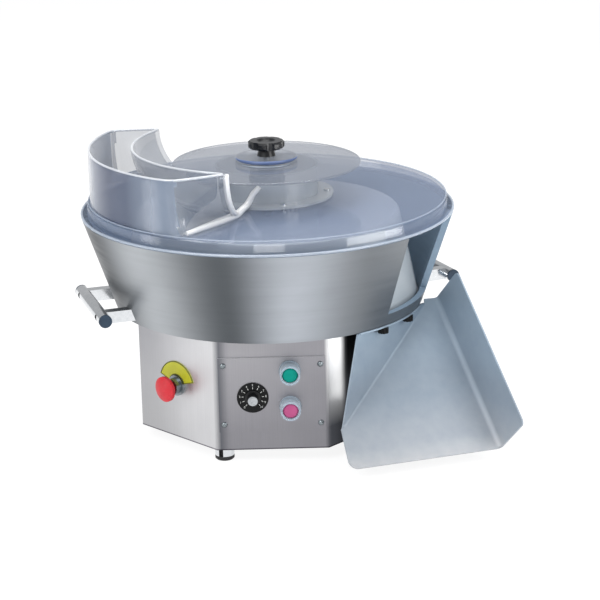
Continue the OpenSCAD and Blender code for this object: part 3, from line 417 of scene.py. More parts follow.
# Painted light and shade round the casing: a pale left face, a bright and a black reflection round the right
# corner, upper and lower tones mixed between two heights
BASE_SHEEN = Sheen(Axis.TURN, (
    (-180, "#c8c8ca"), (-67, "#a9a9ad"), (-22.7, "#d2d2d4"), *round_front(FRONT_HIGH), (23, "#fafafa"),
    (29, "#f6f6f6"), (33, "#14161b"), (60, "#2a2e34"), (80, "#8c8d90"), (180, "#c8c8ca")), (
    (-180, "#c8c8ca"), (-67, "#b2b2b4"), (-22.7, "#d2d2d4"), *round_front(FRONT_LOW), (23, "#484a50"),
    (33, "#202328"), (60, "#3a3e44"), (80, "#8c8d90"), (180, "#c8c8ca")), FRONT_RISE)
# Painted shade: a dark line along the foot of the casing
FOOT_PAINTED_SHADE = Sheen(Axis.RISE, ((20, "#8b8891"), (23, "#8b8891"), (24.5, "#ffffff"), (210, "#ffffff")))
PANEL_SHEEN = Sheen(Axis.ACROSS, FRONT_HIGH, FRONT_LOW, FRONT_RISE)
# Painted light and shade up the chute: palest at its floor
CHUTE_SHEEN = Sheen(Axis.RISE, (
    (20, "#aeb0b3"), (45, "#9ca2a9"), (100, "#8a95a0"), (160, "#93a1ae"), (205, "#96a6b4")))
# Painted shade: the cone's side darker than its top
CONE_PAINTED_SHADE = Sheen(Axis.RISE, ((200, "#d9dcda"), (330, "#dcdfdd"), (345, "#ffffff"), (400, "#ffffff")))
# Painted shade and highlight round the hopper's outer wall: deep blue to the left, a pale upright band
HOPPER_SHEEN = Sheen(Axis.TURN, (
    (-180, "#ffffff"), (-108, "#f0f2f5"), (-84, "#8494b2"), (-62, "#4f658f"), (-50, "#5f7396"),
    (-43, "#bcc4cf"), (-36, "#f2f4f6"), (180, "#ffffff")))

# Satin stainless drawn round the bowl: painted reflections as broad upright bands of light and dark, a dull
# blue-grey inside
BOWL_STEEL = BrushedSteel(
    "stainless_bowl", "#ffffff", "#f0f0f0", 0.4, streak_mm=7, sheens=(BOWL_SHEEN,), bump=0.01,
    lining=Lining("#7f93a5", 0.3))
# Fine brushed casing with painted light and shade: a pale left face, a bright and a black painted reflection
# round the right corner, a painted dark line along the foot
BASE_STEEL = BrushedSteel(
    "stainless_casing", "#ffffff", "#f0f0f0", 0.42, Lay.UPRIGHT, sheens=(BASE_SHEEN, FOOT_PAINTED_SHADE), bump=0.02)
# Panel of the same steel, with painted reflection across it and painted shade that makes it a little darker
# towards its foot; pale cut edges
PANEL_STEEL = BrushedSteel(
    "stainless_panel", "#ffffff", "#f0f0f0", 0.42, Lay.UPRIGHT, sheens=(PANEL_SHEEN,), bump=0.02,
    lining=Lining("#cfcfd2", 0.0))
# Plain mill finish of the plates inside
PLATE_STEEL = BrushedSteel("sheet_steel", "#a8aaad", "#8c8e92", 0.5, Lay.NONE, streak_mm=4)
# Matte satin sheet with a cool tint, and painted light and shade by height that pales it towards the floor
CHUTE_STEEL = BrushedSteel(
    "stainless_chute", "#ffffff", "#eef1f4", 0.5, Lay.NONE, streak_mm=14, sheens=(CHUTE_SHEEN,), bump=0.01,
    metallic=0.35)
# Rounded inside of a fold: a soft pale stripe, with the chute's painted light and shade by height
FOLD_STEEL = BrushedSteel(
    "stainless_fold", "#ffffff", "#f4f6f8", 0.6, Lay.NONE, streak_mm=6, sheens=(CHUTE_SHEEN,), bump=0.01,
    metallic=0.2)
# Polished tube and sleeves: near mirror with crisp light and dark
BRIGHT_STEEL = BrushedSteel("polished_steel", "#e4e6e8", "#d2d5d8", 0.16, Lay.NONE, streak_mm=6, bump=0.01)
# Small screws and collar: dull grey with a blue cast
DULL_STEEL = BrushedSteel("dull_nickel", "#8d9498", "#757c80", 0.3, Lay.NONE, streak_mm=3, bump=0.01)
# Turned cap of the speed knob: soft silver
TURNED_STEEL = BrushedSteel("turned_aluminium", "#bfc2c5", "#989ca0", 0.3, Lay.NONE, streak_mm=4, bump=0.02)
# Dull blue-white plating of the fasteners
ZINC = BrushedSteel("zinc_plate", "#b9bcc0", "#a2a6ab", 0.34, Lay.NONE, streak_mm=2)
# Ground shaft and bearing rings: fine even shine
GROUND_STEEL = BrushedSteel("ground_steel", "#b6b8bb", "#a2a5a9", 0.28, streak_mm=0.8)
# Coated cone: matte and pale, with painted shade that makes its side a little darker than its top
CONE_METAL = BrushedSteel(
    "coated_aluminium", "#ccd2da", "#c0c7d0", 0.5, streak_mm=1.6, sheens=(CONE_PAINTED_SHADE,), bump=0.02,
    metallic=0.3)
# Grey casting with a rough skin
CAST_IRON = Moulded("cast_iron", "#5d6064", "#484b4f", 0.6, grain_mm=1.5, bump=0.4, metallic=0.6)
# Semi-gloss dark enamel of the motor
MOTOR_PAINT = Moulded("motor_enamel", "#3c4654", "#333c49", 0.38, grain_mm=2.0, bump=0.1, coat=0.3)
# Black speed knob, handle screws and caps: a soft shine
BLACK_PLASTIC = Moulded("black_phenolic", "#0d0f13", "#07080b", 0.36, gloss=0.35)
# Star knob: the same plastic, polished
KNOB_BLACK = Moulded("polished_phenolic", "#0a0d14", "#05070b", 0.3, coat=0.15)
# Dial plate and thumb screws: nearly matte black
DIAL_BLACK = Moulded("anodised_dial", "#0b0c0e", "#060708", 0.5, grain_mm=0.5, gloss=0.2)
# Plain grey bodies behind the panel
GREY_PLASTIC = Moulded("grey_nylon", "#5a5c60", "#4a4c50", 0.5)
# Blue-grey caps on the handle tubes
CAP_PLASTIC = Moulded("navy_cap", "#2e4052", "#243444", 0.5, gloss=0.3)
# Dull black feet
RUBBER = Moulded("black_rubber", "#1b1b1c", "#121213", 0.7, bump=0.3)
# Boots round the push buttons: milky and half see-through
BOOT = ClearSheet("silicone_boot", "#b4c3d0", "#a9b9c7", 0.5, 0.8, "#d2dde6", 0.35, ior=PLASTIC_IOR)
# Sea-green start lens
GREEN_LENS = Moulded("green_lens", "#008678", "#00796c", 0.4, gloss=0.1)
# Dusky pink stop lens
RED_LENS = Moulded("red_lens", "#aa4e7a", "#9f4470", 0.4, gloss=0.2)
# Clear signal red of the mushroom head
ESTOP_RED = Moulded("red_acetal", "#c01f2c", "#b41724", 0.38, gloss=0.4)
# Bare yellow legend plate
LEGEND = Moulded("yellow_legend", "#b0b022", "#a4a41a", 0.5)
# Olive line round the legend
LEGEND_EDGE = Moulded("olive_border", "#5d5f16", "#515312", 0.5)
# Pale grey print of the dial
MARKING = Moulded("white_marking", "#c9cac7", "#bcbdba", 0.6)
# Clear hopper: cool grey where it is seen square on, with a painted pale reflection where it turns away
SHEET = ClearSheet("clear_polycarbonate", "#7d899b", "#737f91", 0.27, 0.55, "#d2d4d8")
# Outer wall of the hopper, with painted shade in deep blue to the left clearing to a painted highlight as a
# pale upright band
OUTER_SHEET = ClearSheet(
    "polycarbonate_with_painted_shade", "#8490a2", "#7a8698", 0.62, 0.68, "#c6cad2", 0.16, HOPPER_SHEEN, 1.5)
# Clear lid: thinner, so that the cone's top shows through
LID_SHEET = ClearSheet("thin_polycarbonate", "#7485a4", "#6a7b9a", 0.18, 0.55, "#8d9bb4")
# Disc on the turret: the same plastic, hazier
DISC_SHEET = ClearSheet("hazy_polycarbonate", "#808898", "#767f8f", 0.3, 0.7, "#8f959f")
# Boss under the star knob: so clear that only its edge shows
BOSS_SHEET = ClearSheet("clear_boss", "#a2a9b5", "#989fac", 0.1, 0.35, "#aab0ba")
# Turret wall: clear, with a pale bloom
TURRET_SHEET = ClearSheet("clear_acrylic", "#e4eaf0", "#dae1e8", 0.4, 0.6, "#d2d8de")
# Painted highlight along the rim of the hopper: a white line of caught light
EDGE = ClearSheet("rim_painted_highlight", "#eef1f6", "#e2e7ee", 0.6, 0.9, "#f6f8fa", 0.2)
# Painted highlight along the thick foot and the front corner of the hopper: milky white
FOOT_EDGE = ClearSheet("corner_foot_painted_highlight", "#ffffff", "#f6f8fb", 0.93, 0.97, "#ffffff", 0.3)
# Painted highlight along the lip of the lid and the foot of the boss: the same as the rim's, softer and
# bluer
LIP_EDGE = ClearSheet("lip_edge", "#bcc7d6", "#b1bdcd", 0.55, 0.75, "#ccd6e2", 0.25)
# Painted highlight along the rounded shoulder of the lid: fainter still
SHOULDER_EDGE = ClearSheet("shoulder_edge", "#aab7ca", "#9fadc1", 0.4, 0.55, "#bac6d6", 0.3)
# Painted shade along the front edge of the boss, seen edge-on: deep blue
BOSS_EDGE = ClearSheet("boss_edge", "#6276a2", "#586c98", 0.75, 0.82, "#7d8fb6", 0.15, ior=PLASTIC_IOR)
# Hub under the disc: dark blue, blurred by the plastic in front of it
HUB_SHEET = ClearSheet("blue_hub", "#33507f", "#2b4774", 0.93, 0.96, "#4a6390", 0.3, ior=PLASTIC_IOR)

NODES_IN: dict[Finish, str] = {
    BASE_STEEL: "base_housing",
    PANEL_STEEL: "control_panel",
    PLATE_STEEL: "base_plate deck_plate bowl_floor",
    BOWL_STEEL: "bowl",
    CHUTE_STEEL: "chute",
    BRIGHT_STEEL: "foot_sleeves handle_bars handle_arms turret_screws disc_stud",
    DULL_STEEL: "estop_collar panel_screws",
    TURNED_STEEL: "speed_knob_cap",
    ZINC: "base_plate_screws foot_studs bowl_bolts gearbox_bolts bearing_bolts cone_bolts estop_locknut",
    GROUND_STEEL: "main_shaft shaft_bearing knob_spindle",
    CAST_IRON: "gearbox bearing_housing",
    MOTOR_PAINT: "motor",
    CONE_METAL: "cone cone_hub cone_cap",
    LID_SHEET: "lid_shell",
    SHEET: "inlet_hopper",
    TURRET_SHEET: "turret",
    DISC_SHEET: "upper_disc",
    BOSS_SHEET: "disc_boss",
    KNOB_BLACK: "star_knob",
    DIAL_BLACK: "dial_plate front_thumb_screw rear_thumb_screw",
    BLACK_PLASTIC: "speed_knob handle_screws cable_gland motor_end_cap",
    GREY_PLASTIC: (
        "start_contact_block stop_contact_block estop_contact_block potentiometer speed_controller"),
    CAP_PLASTIC: "handle_caps",
    RUBBER: "foot_pads shaft_seal",
    BOOT: "start_sleeve stop_sleeve",
    GREEN_LENS: "start_lens",
    RED_LENS: "stop_lens",
    ESTOP_RED: "estop_head estop_plunger",
    LEGEND: "estop_legend",
}
CAD_FINISHES = {name: finish for finish, names in NODES_IN.items() for name in names.split()}


@cache
def material_of(finish: Finish) -> Material:
    """Gives a finish's material, which is built the first time only."""
    return finish.material()


def put(
    name: str, mesh: Mesh, body: Body, finish: Finish | None, replaces: Iterable[str] = ()
) -> None:
    """Puts a finished mesh in the scene, on a body.

    Args:
        name: the piece's name.
        mesh: its mesh, in the part's frame.
        body: the body that it rides on.
        finish: its finish, or None where the mesh has its materials.
        replaces: CAD nodes that it stands for.
    """
    if finish is not None:
        mesh.materials.clear()
        mesh.materials.append(material_of(finish))
    piece = bpy.data.objects.new(name, mesh)
    bpy.context.scene.collection.objects.link(piece)
    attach(piece, body.value)
    nodes = list(replaces)
    if nodes:
        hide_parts(*nodes)
    LOG.info("piece %s: %d faces on %s", name, len(mesh.polygons), body.value)


def shaded(mesh: Mesh) -> Mesh:
    """Shades a mesh smooth, with sharp edges where it turns by more than a little."""
    mesh.shade_smooth()
    mesh.set_sharp_from_angle(angle=SMOOTH_ANGLE)
    return mesh


def from_bmesh(name: str, bm: bmesh.types.BMesh) -> Mesh:
    """Turns a bmesh into a shaded mesh with its faces outwards, and frees it."""
    bmesh.ops.remove_doubles(bm, verts=bm.verts, dist=MERGE_GAP)
    bmesh.ops.recalc_face_normals(bm, faces=bm.faces)
    mesh = bpy.data.meshes.new(name)
    bm.to_mesh(mesh)
    bm.free()
    return shaded(mesh)


def loft(name: str, rings: Sequence[Ring], round_trip: bool) -> Mesh:
    """Joins closed rings of equal length into a skin.

    Args:
        name: the mesh's name.
        rings: rings of points, in order.
        round_trip: joins the last ring to the first; otherwise both ends are capped.

    Returns:
        The mesh.
    """
    bm = bmesh.new()
    rows = [[bm.verts.new(p) for p in ring] for ring in rings]
    count = len(rows[0])
    last = len(rows) if round_trip else len(rows) - 1
    for i in range(last):
        low, high = rows[i], rows[(i + 1) % len(rows)]
        for k in range(count):
            bm.faces.new((low[k], low[(k + 1) % count], high[(k + 1) % count], high[k]))
    if not round_trip:
        bm.faces.new(rows[0])
        bm.faces.new(rows[-1])
    return from_bmesh(name, bm)


def join(name: str, meshes: Iterable[Mesh]) -> Mesh:
    """Joins meshes into one."""
    bm = bmesh.new()
    for mesh in meshes:
        bm.from_mesh(mesh)
    out = bpy.data.meshes.new(name)
    bm.to_mesh(out)
    bm.free()
    return out


def evaluated(name: str, mesh: Mesh, tree: Tree, inputs: dict[str, object]) -> Mesh:
    """Runs a geometry tree on a mesh and keeps the result as a plain mesh.

    Args:
        name: the result's name.
        mesh: the tree's geometry input.
        tree: the geometry node tree.
        inputs: values for its named inputs.

    Returns:
        The plain mesh.
    """
    holder = bpy.data.objects.new(name, mesh)
    bpy.context.scene.collection.objects.link(holder)
    modifier = holder.modifiers.new("tree", "NODES")
    modifier.node_group = tree
    for key, value in inputs.items():
        modifier[tree.interface.items_tree[key].identifier] = value
    graph = bpy.context.evaluated_depsgraph_get()
    out = bpy.data.meshes.new_from_object(holder.evaluated_get(graph))
    holder.modifiers.clear()
    bpy.data.objects.remove(holder)
    out.name = name
    return out


def geometry_tree(name: str, inputs: dict[str, str]) -> tuple[Tree, dict[str, Socket]]:
    """Starts a geometry tree with a geometry input and output.

    Args:
        name: the tree's name.
        inputs: name and kind of each further input.

    Returns:
        The tree, and the sockets that its inputs come in by.
    """
    tree = bpy.data.node_groups.new(name, "GeometryNodeTree")
    for label, kind in {"Geometry": "Geometry", **inputs}.items():
        tree.interface.new_socket(label, in_out="INPUT", socket_type="NodeSocket" + kind)
    tree.interface.new_socket("Geometry", in_out="OUTPUT", socket_type="NodeSocketGeometry")
    return tree, {socket.name: socket for socket in add(tree, "NodeGroupInput").outputs}


def end_tree(tree: Tree, given: dict[str, Socket], shape: Node) -> Tree:
    """Ends a geometry tree: its shape becomes plain mesh in the material that was given."""
    real = add(tree, "GeometryNodeRealizeInstances", {0: shape.outputs[0]})
    coat = add(tree, "GeometryNodeSetMaterial", {0: real.outputs[0], "Material": given["Material"]})
    add(tree, "NodeGroupOutput", {0: coat.outputs[0]})
    return tree


class Trees:
    """The geometry trees that make what repeats or follows a path."""

    def __init__(self) -> None:
        """Builds the trees."""
        self.bead_tree = self.make_bead_tree()
        self.ring_tree = self.make_ring_tree()

    def make_bead_tree(self) -> Tree:
        """Builds the tree that sweeps a round bead along edges."""
        tree, given = geometry_tree(
            "edge_bead", {"Radius": "Float", "Sides": "Int", "Taper": "Float", "Material": "Material"})
        path = add(tree, "GeometryNodeMeshToCurve", {0: given["Geometry"]})
        circle = {"Resolution": given["Sides"], "Radius": given["Radius"]}
        section = add(tree, "GeometryNodeCurvePrimitiveCircle", circle)
        along = add(tree, "GeometryNodeSplineParameter")
        side = mapped(tree, along.outputs["Factor"], target=(-1.0, 1.0))
        thin = math_node(tree, "MULTIPLY", math_node(tree, "MULTIPLY", side, side), given["Taper"])
        width = math_node(tree, "SUBTRACT", 1.0, thin)
        sweep = {"Curve": path.outputs[0], "Profile Curve": section.outputs[0], "Scale": width}
        skin = add(tree, "GeometryNodeCurveToMesh", {**sweep, "Fill Caps": True})
        return end_tree(tree, given, add(tree, "GeometryNodeSetShadeSmooth", {0: skin.outputs[0]}))

    def make_ring_tree(self) -> Tree:
        """Builds the tree that copies its input along an arc round local Z."""
        tree, given = geometry_tree("arc_of_copies", {
            "Count": "Int", "Radius": "Float", "Start": "Float", "Step": "Float", "Material": "Material"})
        index = add(tree, "GeometryNodeInputIndex").outputs[0]
        angle = math_node(tree, "ADD", math_node(tree, "MULTIPLY", index, given["Step"]), given["Start"])
        x = math_node(tree, "MULTIPLY", math_node(tree, "COSINE", angle), given["Radius"])
        y = math_node(tree, "MULTIPLY", math_node(tree, "SINE", angle), given["Radius"])
        spot = add(tree, "ShaderNodeCombineXYZ", {0: x, 1: y}).outputs[0]
        points = add(tree, "GeometryNodePoints", {"Count": given["Count"], "Position": spot}).outputs[0]
        turn = add(tree, "ShaderNodeCombineXYZ", {2: angle}).outputs[0]
        copies = {"Points": points, "Instance": given["Geometry"], "Rotation": turn}
        return end_tree(tree, given, add(tree, "GeometryNodeInstanceOnPoints", copies))

    def bead(
        self, name: str, path: Path, radius: float, finish: Finish, sides: int = 10, taper: float = 0.0
    ) -> Mesh:
        """Sweeps a round bead along a path.

        Args:
            name: the mesh's name.
            path: its points, and whether it is closed.
            radius: the bead's radius.
            finish: its finish.
            sides: sides of its section.
            taper: share of the radius that is lost at both ends.

        Returns:
            The bead's mesh.
        """
        line = bpy.data.meshes.new(name + "_path")
        points, closed = path
        edges = [(i, i + 1) for i in range(len(points) - 1)]
        if closed:
            edges.append((len(points) - 1, 0))
        line.from_pydata(points, edges, [])
        inputs = {"Radius": radius, "Sides": sides, "Taper": taper, "Material": material_of(finish)}
        return evaluated(name, line, self.bead_tree, inputs)

    def lid_bead(self, name: str, path: Path, radius: float, finish: Finish, taper: float = 0.0) -> None:
        """Sweeps a bead, as in bead, and puts it on the lid."""
        mesh = self.bead(name, path, radius, finish, taper=taper)
        put(name, mesh, Body.LID, None)

    def arc(
        self, name: str, mesh: Mesh, count: int, radius: float, start: float, step: float, finish: Finish
    ) -> Mesh:
        """Copies a mesh along an arc round local Z, angles in degrees."""
        turns = {"Start": math.radians(start), "Step": math.radians(step)}
        inputs = {"Count": count, "Radius": radius, **turns, "Material": material_of(finish)}
        return evaluated(name, mesh, self.ring_tree, inputs)


@dataclass
class Hopper:
    """Clear inlet hopper: a formed wall lofted from its foot on the lid to its rim, with painted highlights
    as beads along its edges.
    """

    out_r: float = 274.5 * MM
    in_r: float = 205 * MM
    foot_r: float = 108 * MM
    foot_z: float = 367 * MM
    height: float = 81 * MM
    wall: float = 4 * MM
    outer_depth: float = 6 * MM
    top_azimuths: tuple[float, ...] = (-29.5, -116, -127, -14.2)
    foot_azimuths: tuple[float, ...] = (-26, -118, -131, -19)
    inset_azimuths: tuple[float, ...] = (-1.3, 1.2, 1.8, -3.3)
    arc_steps: int = 60
    side_steps: int = 24
    levels: int = 22
    rim_steps: int = 6
    smoothing: int = 10
    rim_bead: float = 1.9 * MM
    rim_sink: float = 0.9 * MM
    corner_bead: float = 4.4 * MM
    foot_bead: float = 5.8 * MM
    foot_taper: float = 0.35
    foot_rise: float = 2.0 * MM
    foot_trim: int = 2
    curl_r: float = 105.5 * MM
    foot_curl: tuple[Span, ...] = ((-17.5, 374.5), (-14.4, 383.3), (-11.8, 392.8), (-6.6, 403.7))

    @property
    def rises(self) -> list[float]:
        """Heights of the wall's levels above the foot, closer together near it."""
        top = self.height - self.wall / 2
        return [top * (i / self.levels) ** 2 for i in range(self.levels + 1)]

    def outline(self, out_r: float, in_r: float, azimuths: Sequence[float]) -> Ring:
        """Gives one level's outline in plan, with its corners eased."""
        a, b, c, d = azimuths
        sides = ((polar(out_r, b), polar(in_r, c)), (polar(in_r, d), polar(out_r, a)))
        points: Ring = []
        for (r, start, end), (tail, head) in zip(((out_r, a, b), (in_r, c, d)), sides):
            points += [polar(r, start + (end - start) * i / self.arc_steps) for i in range(self.arc_steps)]
            points += [tail.lerp(head, i / self.side_steps) for i in range(self.side_steps)]
        count = len(points)
        for _ in range(self.smoothing):
            points = [(points[i - 1] + points[i] * 2 + points[(i + 1) % count]) / 4 for i in range(count)]
        return points

    def ring(self, rise: float, inside: bool) -> Ring:
        """Gives the outside or inside outline at a height above the foot."""
        inset = self.wall if inside else 0.0
        turns = self.inset_azimuths if inside else (0, 0, 0, 0)
        low, high = (
            self.outline(self.out_r - inset, in_r + inset, [x + y for x, y in zip(azimuths, turns)])
            for in_r, azimuths in ((self.foot_r, self.foot_azimuths), (self.in_r, self.top_azimuths))
        )
        share = (rise + inset) / (self.height + inset)
        flare = math.sqrt(share * (2 - share))
        lift = Vector((0, 0, self.foot_z + rise))
        return [p.lerp(q, flare) + lift for p, q in zip(low, high)]

    def mesh(self) -> Mesh:
        """Builds the wall, with a half-round rim."""
        outside = [self.ring(rise, False) for rise in self.rises]
        inside = [self.ring(rise, True) for rise in self.rises]
        rim = []
        for i in range(1, self.rim_steps):
            swing = math.pi * i / self.rim_steps
            lift = Vector((0, 0, self.wall / 2 * math.sin(swing)))
            pairs = zip(outside[-1], inside[-1])
            rim.append([(p + q) / 2 + (p - q) / 2 * math.cos(swing) + lift for p, q in pairs])
        return loft("hopper", outside + rim + inside[::-1], True)

    def dress(self, trees: Trees) -> None:
        """Puts the hopper and the painted highlights along its edges in the scene."""
        wall = self.mesh()
        for finish in (SHEET, OUTER_SHEET):
            wall.materials.append(material_of(finish))
        for face in wall.polygons:
            face.material_index = int(face.center.xy.length > self.out_r - self.outer_depth)
        put("hopper_wall", wall, Body.LID, None, ["inlet_hopper"])
        top = self.rises[-1]
        lift = Vector((0, 0, self.wall / 2 - self.rim_sink))
        rim = [(p + q) / 2 + lift for p, q in zip(self.ring(top, False), self.ring(top, True))]
        # Painted highlight along the rim
        trees.lid_bead("hopper_rim", (rim, True), self.rim_bead, EDGE)
        corner = self.arc_steps * 2 + self.side_steps
        # Painted highlight down the front corner
        edge = [self.ring(rise, False)[corner] for rise in self.rises[1:]]
        trees.lid_bead("hopper_corners", (edge, False), self.corner_bead, FOOT_EDGE)
        # Painted highlight along the front foot, curling up to the turret
        foot = self.ring(self.foot_rise, False)
        order = range(corner + self.side_steps - self.foot_trim, corner, -1)
        front = [foot[i % len(foot)] for i in order]
        front += [polar(self.curl_r, azimuth, z * MM) for azimuth, z in self.foot_curl]
        trees.lid_bead("hopper_foot", (front, False), self.foot_bead, FOOT_EDGE, self.foot_taper)


@dataclass(frozen=True)
class LidBead:
    """Painted highlight or painted shade along an edge of the lid: a full circle, or an arc round the front
    as far as a turn to each side.
    """

    name: str
    path_r: float
    z: float
    radius: float
    finish: ClearSheet
    turn: float | None = None
    taper: float = 0.0


@dataclass
class Lid:
    """Painted highlights along the clear lid's edges and the boss's foot, painted shade along the boss's
    front edge, and the hub under that disc.
    """

    # Painted highlights along the lip, the shoulder and the boss's foot, and painted shade along the boss's
    # front edge
    beads: tuple[LidBead, ...] = (
        LidBead("lid_lip_edge", 287.6 * MM, 348.2 * MM, 2.0 * MM, LIP_EDGE),
        LidBead("lid_shoulder", 276.6 * MM, 367.0 * MM, 1.1 * MM, SHOULDER_EDGE),
        LidBead("boss_front_edge", 47.6 * MM, 426.2 * MM, 2.9 * MM, BOSS_EDGE, 84.0, 0.75),
        LidBead("boss_front_foot", 47.6 * MM, 420.2 * MM, 1.6 * MM, LIP_EDGE, 50.0, 0.75),
    )
    hub_r: float = 26 * MM
    hub_z: Span = (391 * MM, 412.5 * MM)
    hub_ease: float = 2.0 * MM
    steps: int = 160

    def circle(self, radius: float, z: float) -> Ring:
        """Gives the points of a full circle."""
        return [polar(radius, 360 * i / self.steps, z) for i in range(self.steps)]

    def front(self, radius: float, turn: float, z: float) -> Ring:
        """Gives the points of an arc round the front, as far as a turn to each side."""
        return [polar(radius, turn * (2 * i / self.steps - 1), z) for i in range(self.steps + 1)]

    def hub(self) -> Mesh:
        """Builds the round hub that clamps the disc from below, with eased edges."""
        low, high = self.hub_z
        wide, ease = self.hub_r, self.hub_ease
        levels = ((wide - ease, low), (wide, low + ease), (wide, high - ease), (wide - ease, high))
        return loft("disc_hub", [self.circle(radius, z) for radius, z in levels], False)

    def dress(self, trees: Trees) -> None:
        """Puts the painted highlights and shade along the edges, and the hub, in the scene."""
        for bead in self.beads:
            path = (self.circle(bead.path_r, bead.z), True)
            if bead.turn is not None:
                path = (self.front(bead.path_r, bead.turn, bead.z), False)
            trees.lid_bead(bead.name, path, bead.radius, bead.finish, bead.taper)
        put("disc_hub", self.hub(), Body.LID, HUB_SHEET)


@dataclass
class Dial:
    """Pale scale of the speed dial: ticks and numbers from lower left round to lower right."""

    x: float = -29 * MM
    z: float = 106 * MM
    face: float = 206.2 * MM
    tick_r: float = 15.2 * MM
    tick_size: Span = (3.0 * MM, 0.8 * MM)
    number_r: float = 19.6 * MM
    number_size: float = 4.6 * MM
    count: int = 11
    start: float = 230.0
    step: float = -28.0
    thick: float = 0.15 * MM

    def tick(self) -> Mesh:
        """Builds one tick, lying along local X."""
        bm = bmesh.new()
        bmesh.ops.create_cube(bm, size=1.0)
        bmesh.ops.scale(bm, vec=(*self.tick_size, self.thick), verts=bm.verts)
        return from_bmesh("tick", bm)

    def number(self, text: str, angle: float) -> Mesh:
        """Builds one number, upright at its place on the scale."""
        curve = bpy.data.curves.new("number", "FONT")
        curve.body = text
        curve.size = self.number_size
        curve.align_x = "CENTER"
        curve.align_y = "CENTER"
        curve.extrude = self.thick / 2
        holder = bpy.data.objects.new("number", curve)
        mesh = bpy.data.meshes.new_from_object(holder)
        bpy.data.objects.remove(holder)
        turn = math.radians(angle)
        place = Vector((math.cos(turn), math.sin(turn), 0)) * self.number_r
        mesh.transform(Matrix.Translation(place))
        return mesh

    def dress(self, trees: Trees) -> None:
        """Puts the scale on the dial plate."""
        spot = facing(0, self.face, self.x, self.z) @ Matrix.Translation((0, 0, self.thick / 2))
        ticks = trees.arc("dial_ticks", self.tick(), self.count, self.tick_r, self.start, self.step, MARKING)
        numbers = [self.number(str(i), self.start + self.step * i) for i in range(self.count)]
        scale = join("dial_scale", [ticks] + numbers)
        scale.transform(spot)
        put("dial_scale", scale, Body.MACHINE, MARKING)


@dataclass
class ChuteFolds:
    """Pale rounded insides of the chute's two folds, with their ends as shares of its floor."""

    corner_r: float = 405 * MM
    corner_azimuth: float = 57.6
    corner_z: float = 20 * MM
    azimuth: float = 17.0
    tilt: float = 44.0
    bend: float = 81.0
    width: float = 240 * MM
    length: float = 266 * MM
    right_top: Span = (-0.1125, 1.0)
    left_foot: Span = (-0.99, 0.248)
    left_top: Span = (-0.208, 0.97)
    trim: float = 2 * MM
    left_foot_trim: float = 6 * MM
    radius: float = 8 * MM
    steps: int = 8

    @property
    def axes(self) -> Matrix:
        """Directions across the floor, up it and out of it, as columns."""
        turn = Matrix.Rotation(math.radians(self.azimuth), 3, "Z")
        return turn @ Matrix.Rotation(math.radians(self.tilt), 3, "X")

    def point(self, across: float, up: float) -> Vector:
        """Gives a point of the chute's floor from its shares across and uphill."""
        corner = polar(self.corner_r, self.corner_azimuth, self.corner_z)
        return corner + self.axes @ Vector((across * self.width, up * self.length, 0))

    def fillet(self, name: str, low: Vector, high: Vector, floor: Vector, wall: Vector) -> Mesh:
        """Builds the round inside of one fold.

        Args:
            name: the mesh's name.
            low: lower end of the fold.
            high: its upper end.
            floor: direction from the fold into the floor.
            wall: direction from the fold into the wall.

        Returns:
            The mesh.
        """
        half = floor.angle(wall) / 2
        reach = self.radius / math.tan(half)
        middle = (floor + wall).normalized() * (self.radius / math.sin(half))
        first = (floor * reach - middle).normalized()
        last = (wall * reach - middle).normalized()
        side = (last - first * first.dot(last)).normalized()
        section = [Vector((0, 0, 0))]
        for i in range(self.steps + 1):
            swing = first.angle(last) * i / self.steps
            section.append(middle + (first * math.cos(swing) + side * math.sin(swing)) * self.radius)
        return loft(name, [[end + p for p in section] for end in (low, high)], False)

    def dress(self) -> None:
        """Puts both folds in the scene."""
        normal = self.axes @ Vector((0, 0, 1))
        foot, top = self.point(0, 0), self.point(*self.right_top)
        along = (top - foot).normalized()
        inward = normal.cross(along).normalized()
        bend = math.radians(self.bend)
        wing = -inward * math.cos(bend) + normal * math.sin(bend)
        right = self.fillet("right_fold", foot + along * self.trim, top - along * self.trim, inward, wing)
        foot, top = self.point(*self.left_foot), self.point(*self.left_top)
        along = (top - foot).normalized()
        into = along.cross(normal).normalized()
        upright = (Vector((0, 0, 1)) - along * along.z).normalized()
        start = foot + along * self.left_foot_trim
        left = self.fillet("left_fold", start, top - along * self.trim, into, upright)
        folds = shaded(join("chute_folds", [right, left]))
        put("chute_folds", folds, Body.MACHINE, FOLD_STEEL)


@dataclass
class Legend:
    """The emergency stop's bare yellow legend, an arc over its collar, with an olive border."""

    apothem: float = 203 * MM
    azimuth: float = -45.0
    z: float = 107 * MM
    inner: float = 16.3 * MM
    outer: float = 38 * MM
    thick: float = 1.0 * MM
    line_r: float = 0.9 * MM
    line_sides: int = 8
    turns: Span = (17.0, 163.0)
    steps: int = 60

    def outline(self, inset: float, lift: float) -> Ring:
        """Gives the arc's outline, set in from its edges, at a height above the face."""
        start, end = self.turns
        there = range(self.steps + 1)
        path: Ring = []
        for radius, order in ((self.outer - inset, there), (self.inner + inset, reversed(there))):
            trim = math.degrees(inset / radius)
            for i in order:
                turn = math.radians(start + trim + (end - start - 2 * trim) * i / self.steps)
                path.append(Vector((radius * math.cos(turn), radius * math.sin(turn), lift)))
        return path

    def dress(self, trees: Trees) -> None:
        """Puts the plate and its border in the scene."""
        spot = facing(self.azimuth, self.apothem, 0, self.z)
        plate = loft("legend_plate", [self.outline(0.0, lift) for lift in (0.0, self.thick)], False)
        plate.transform(spot)
        put("legend_plate", plate, Body.MACHINE, LEGEND, ["estop_legend"])
        edge = (self.outline(self.line_r, self.thick), True)
        border = trees.bead("legend_border", edge, self.line_r, LEGEND_EDGE, self.line_sides)
        border.transform(spot)
        put("legend_border", border, Body.MACHINE, None)


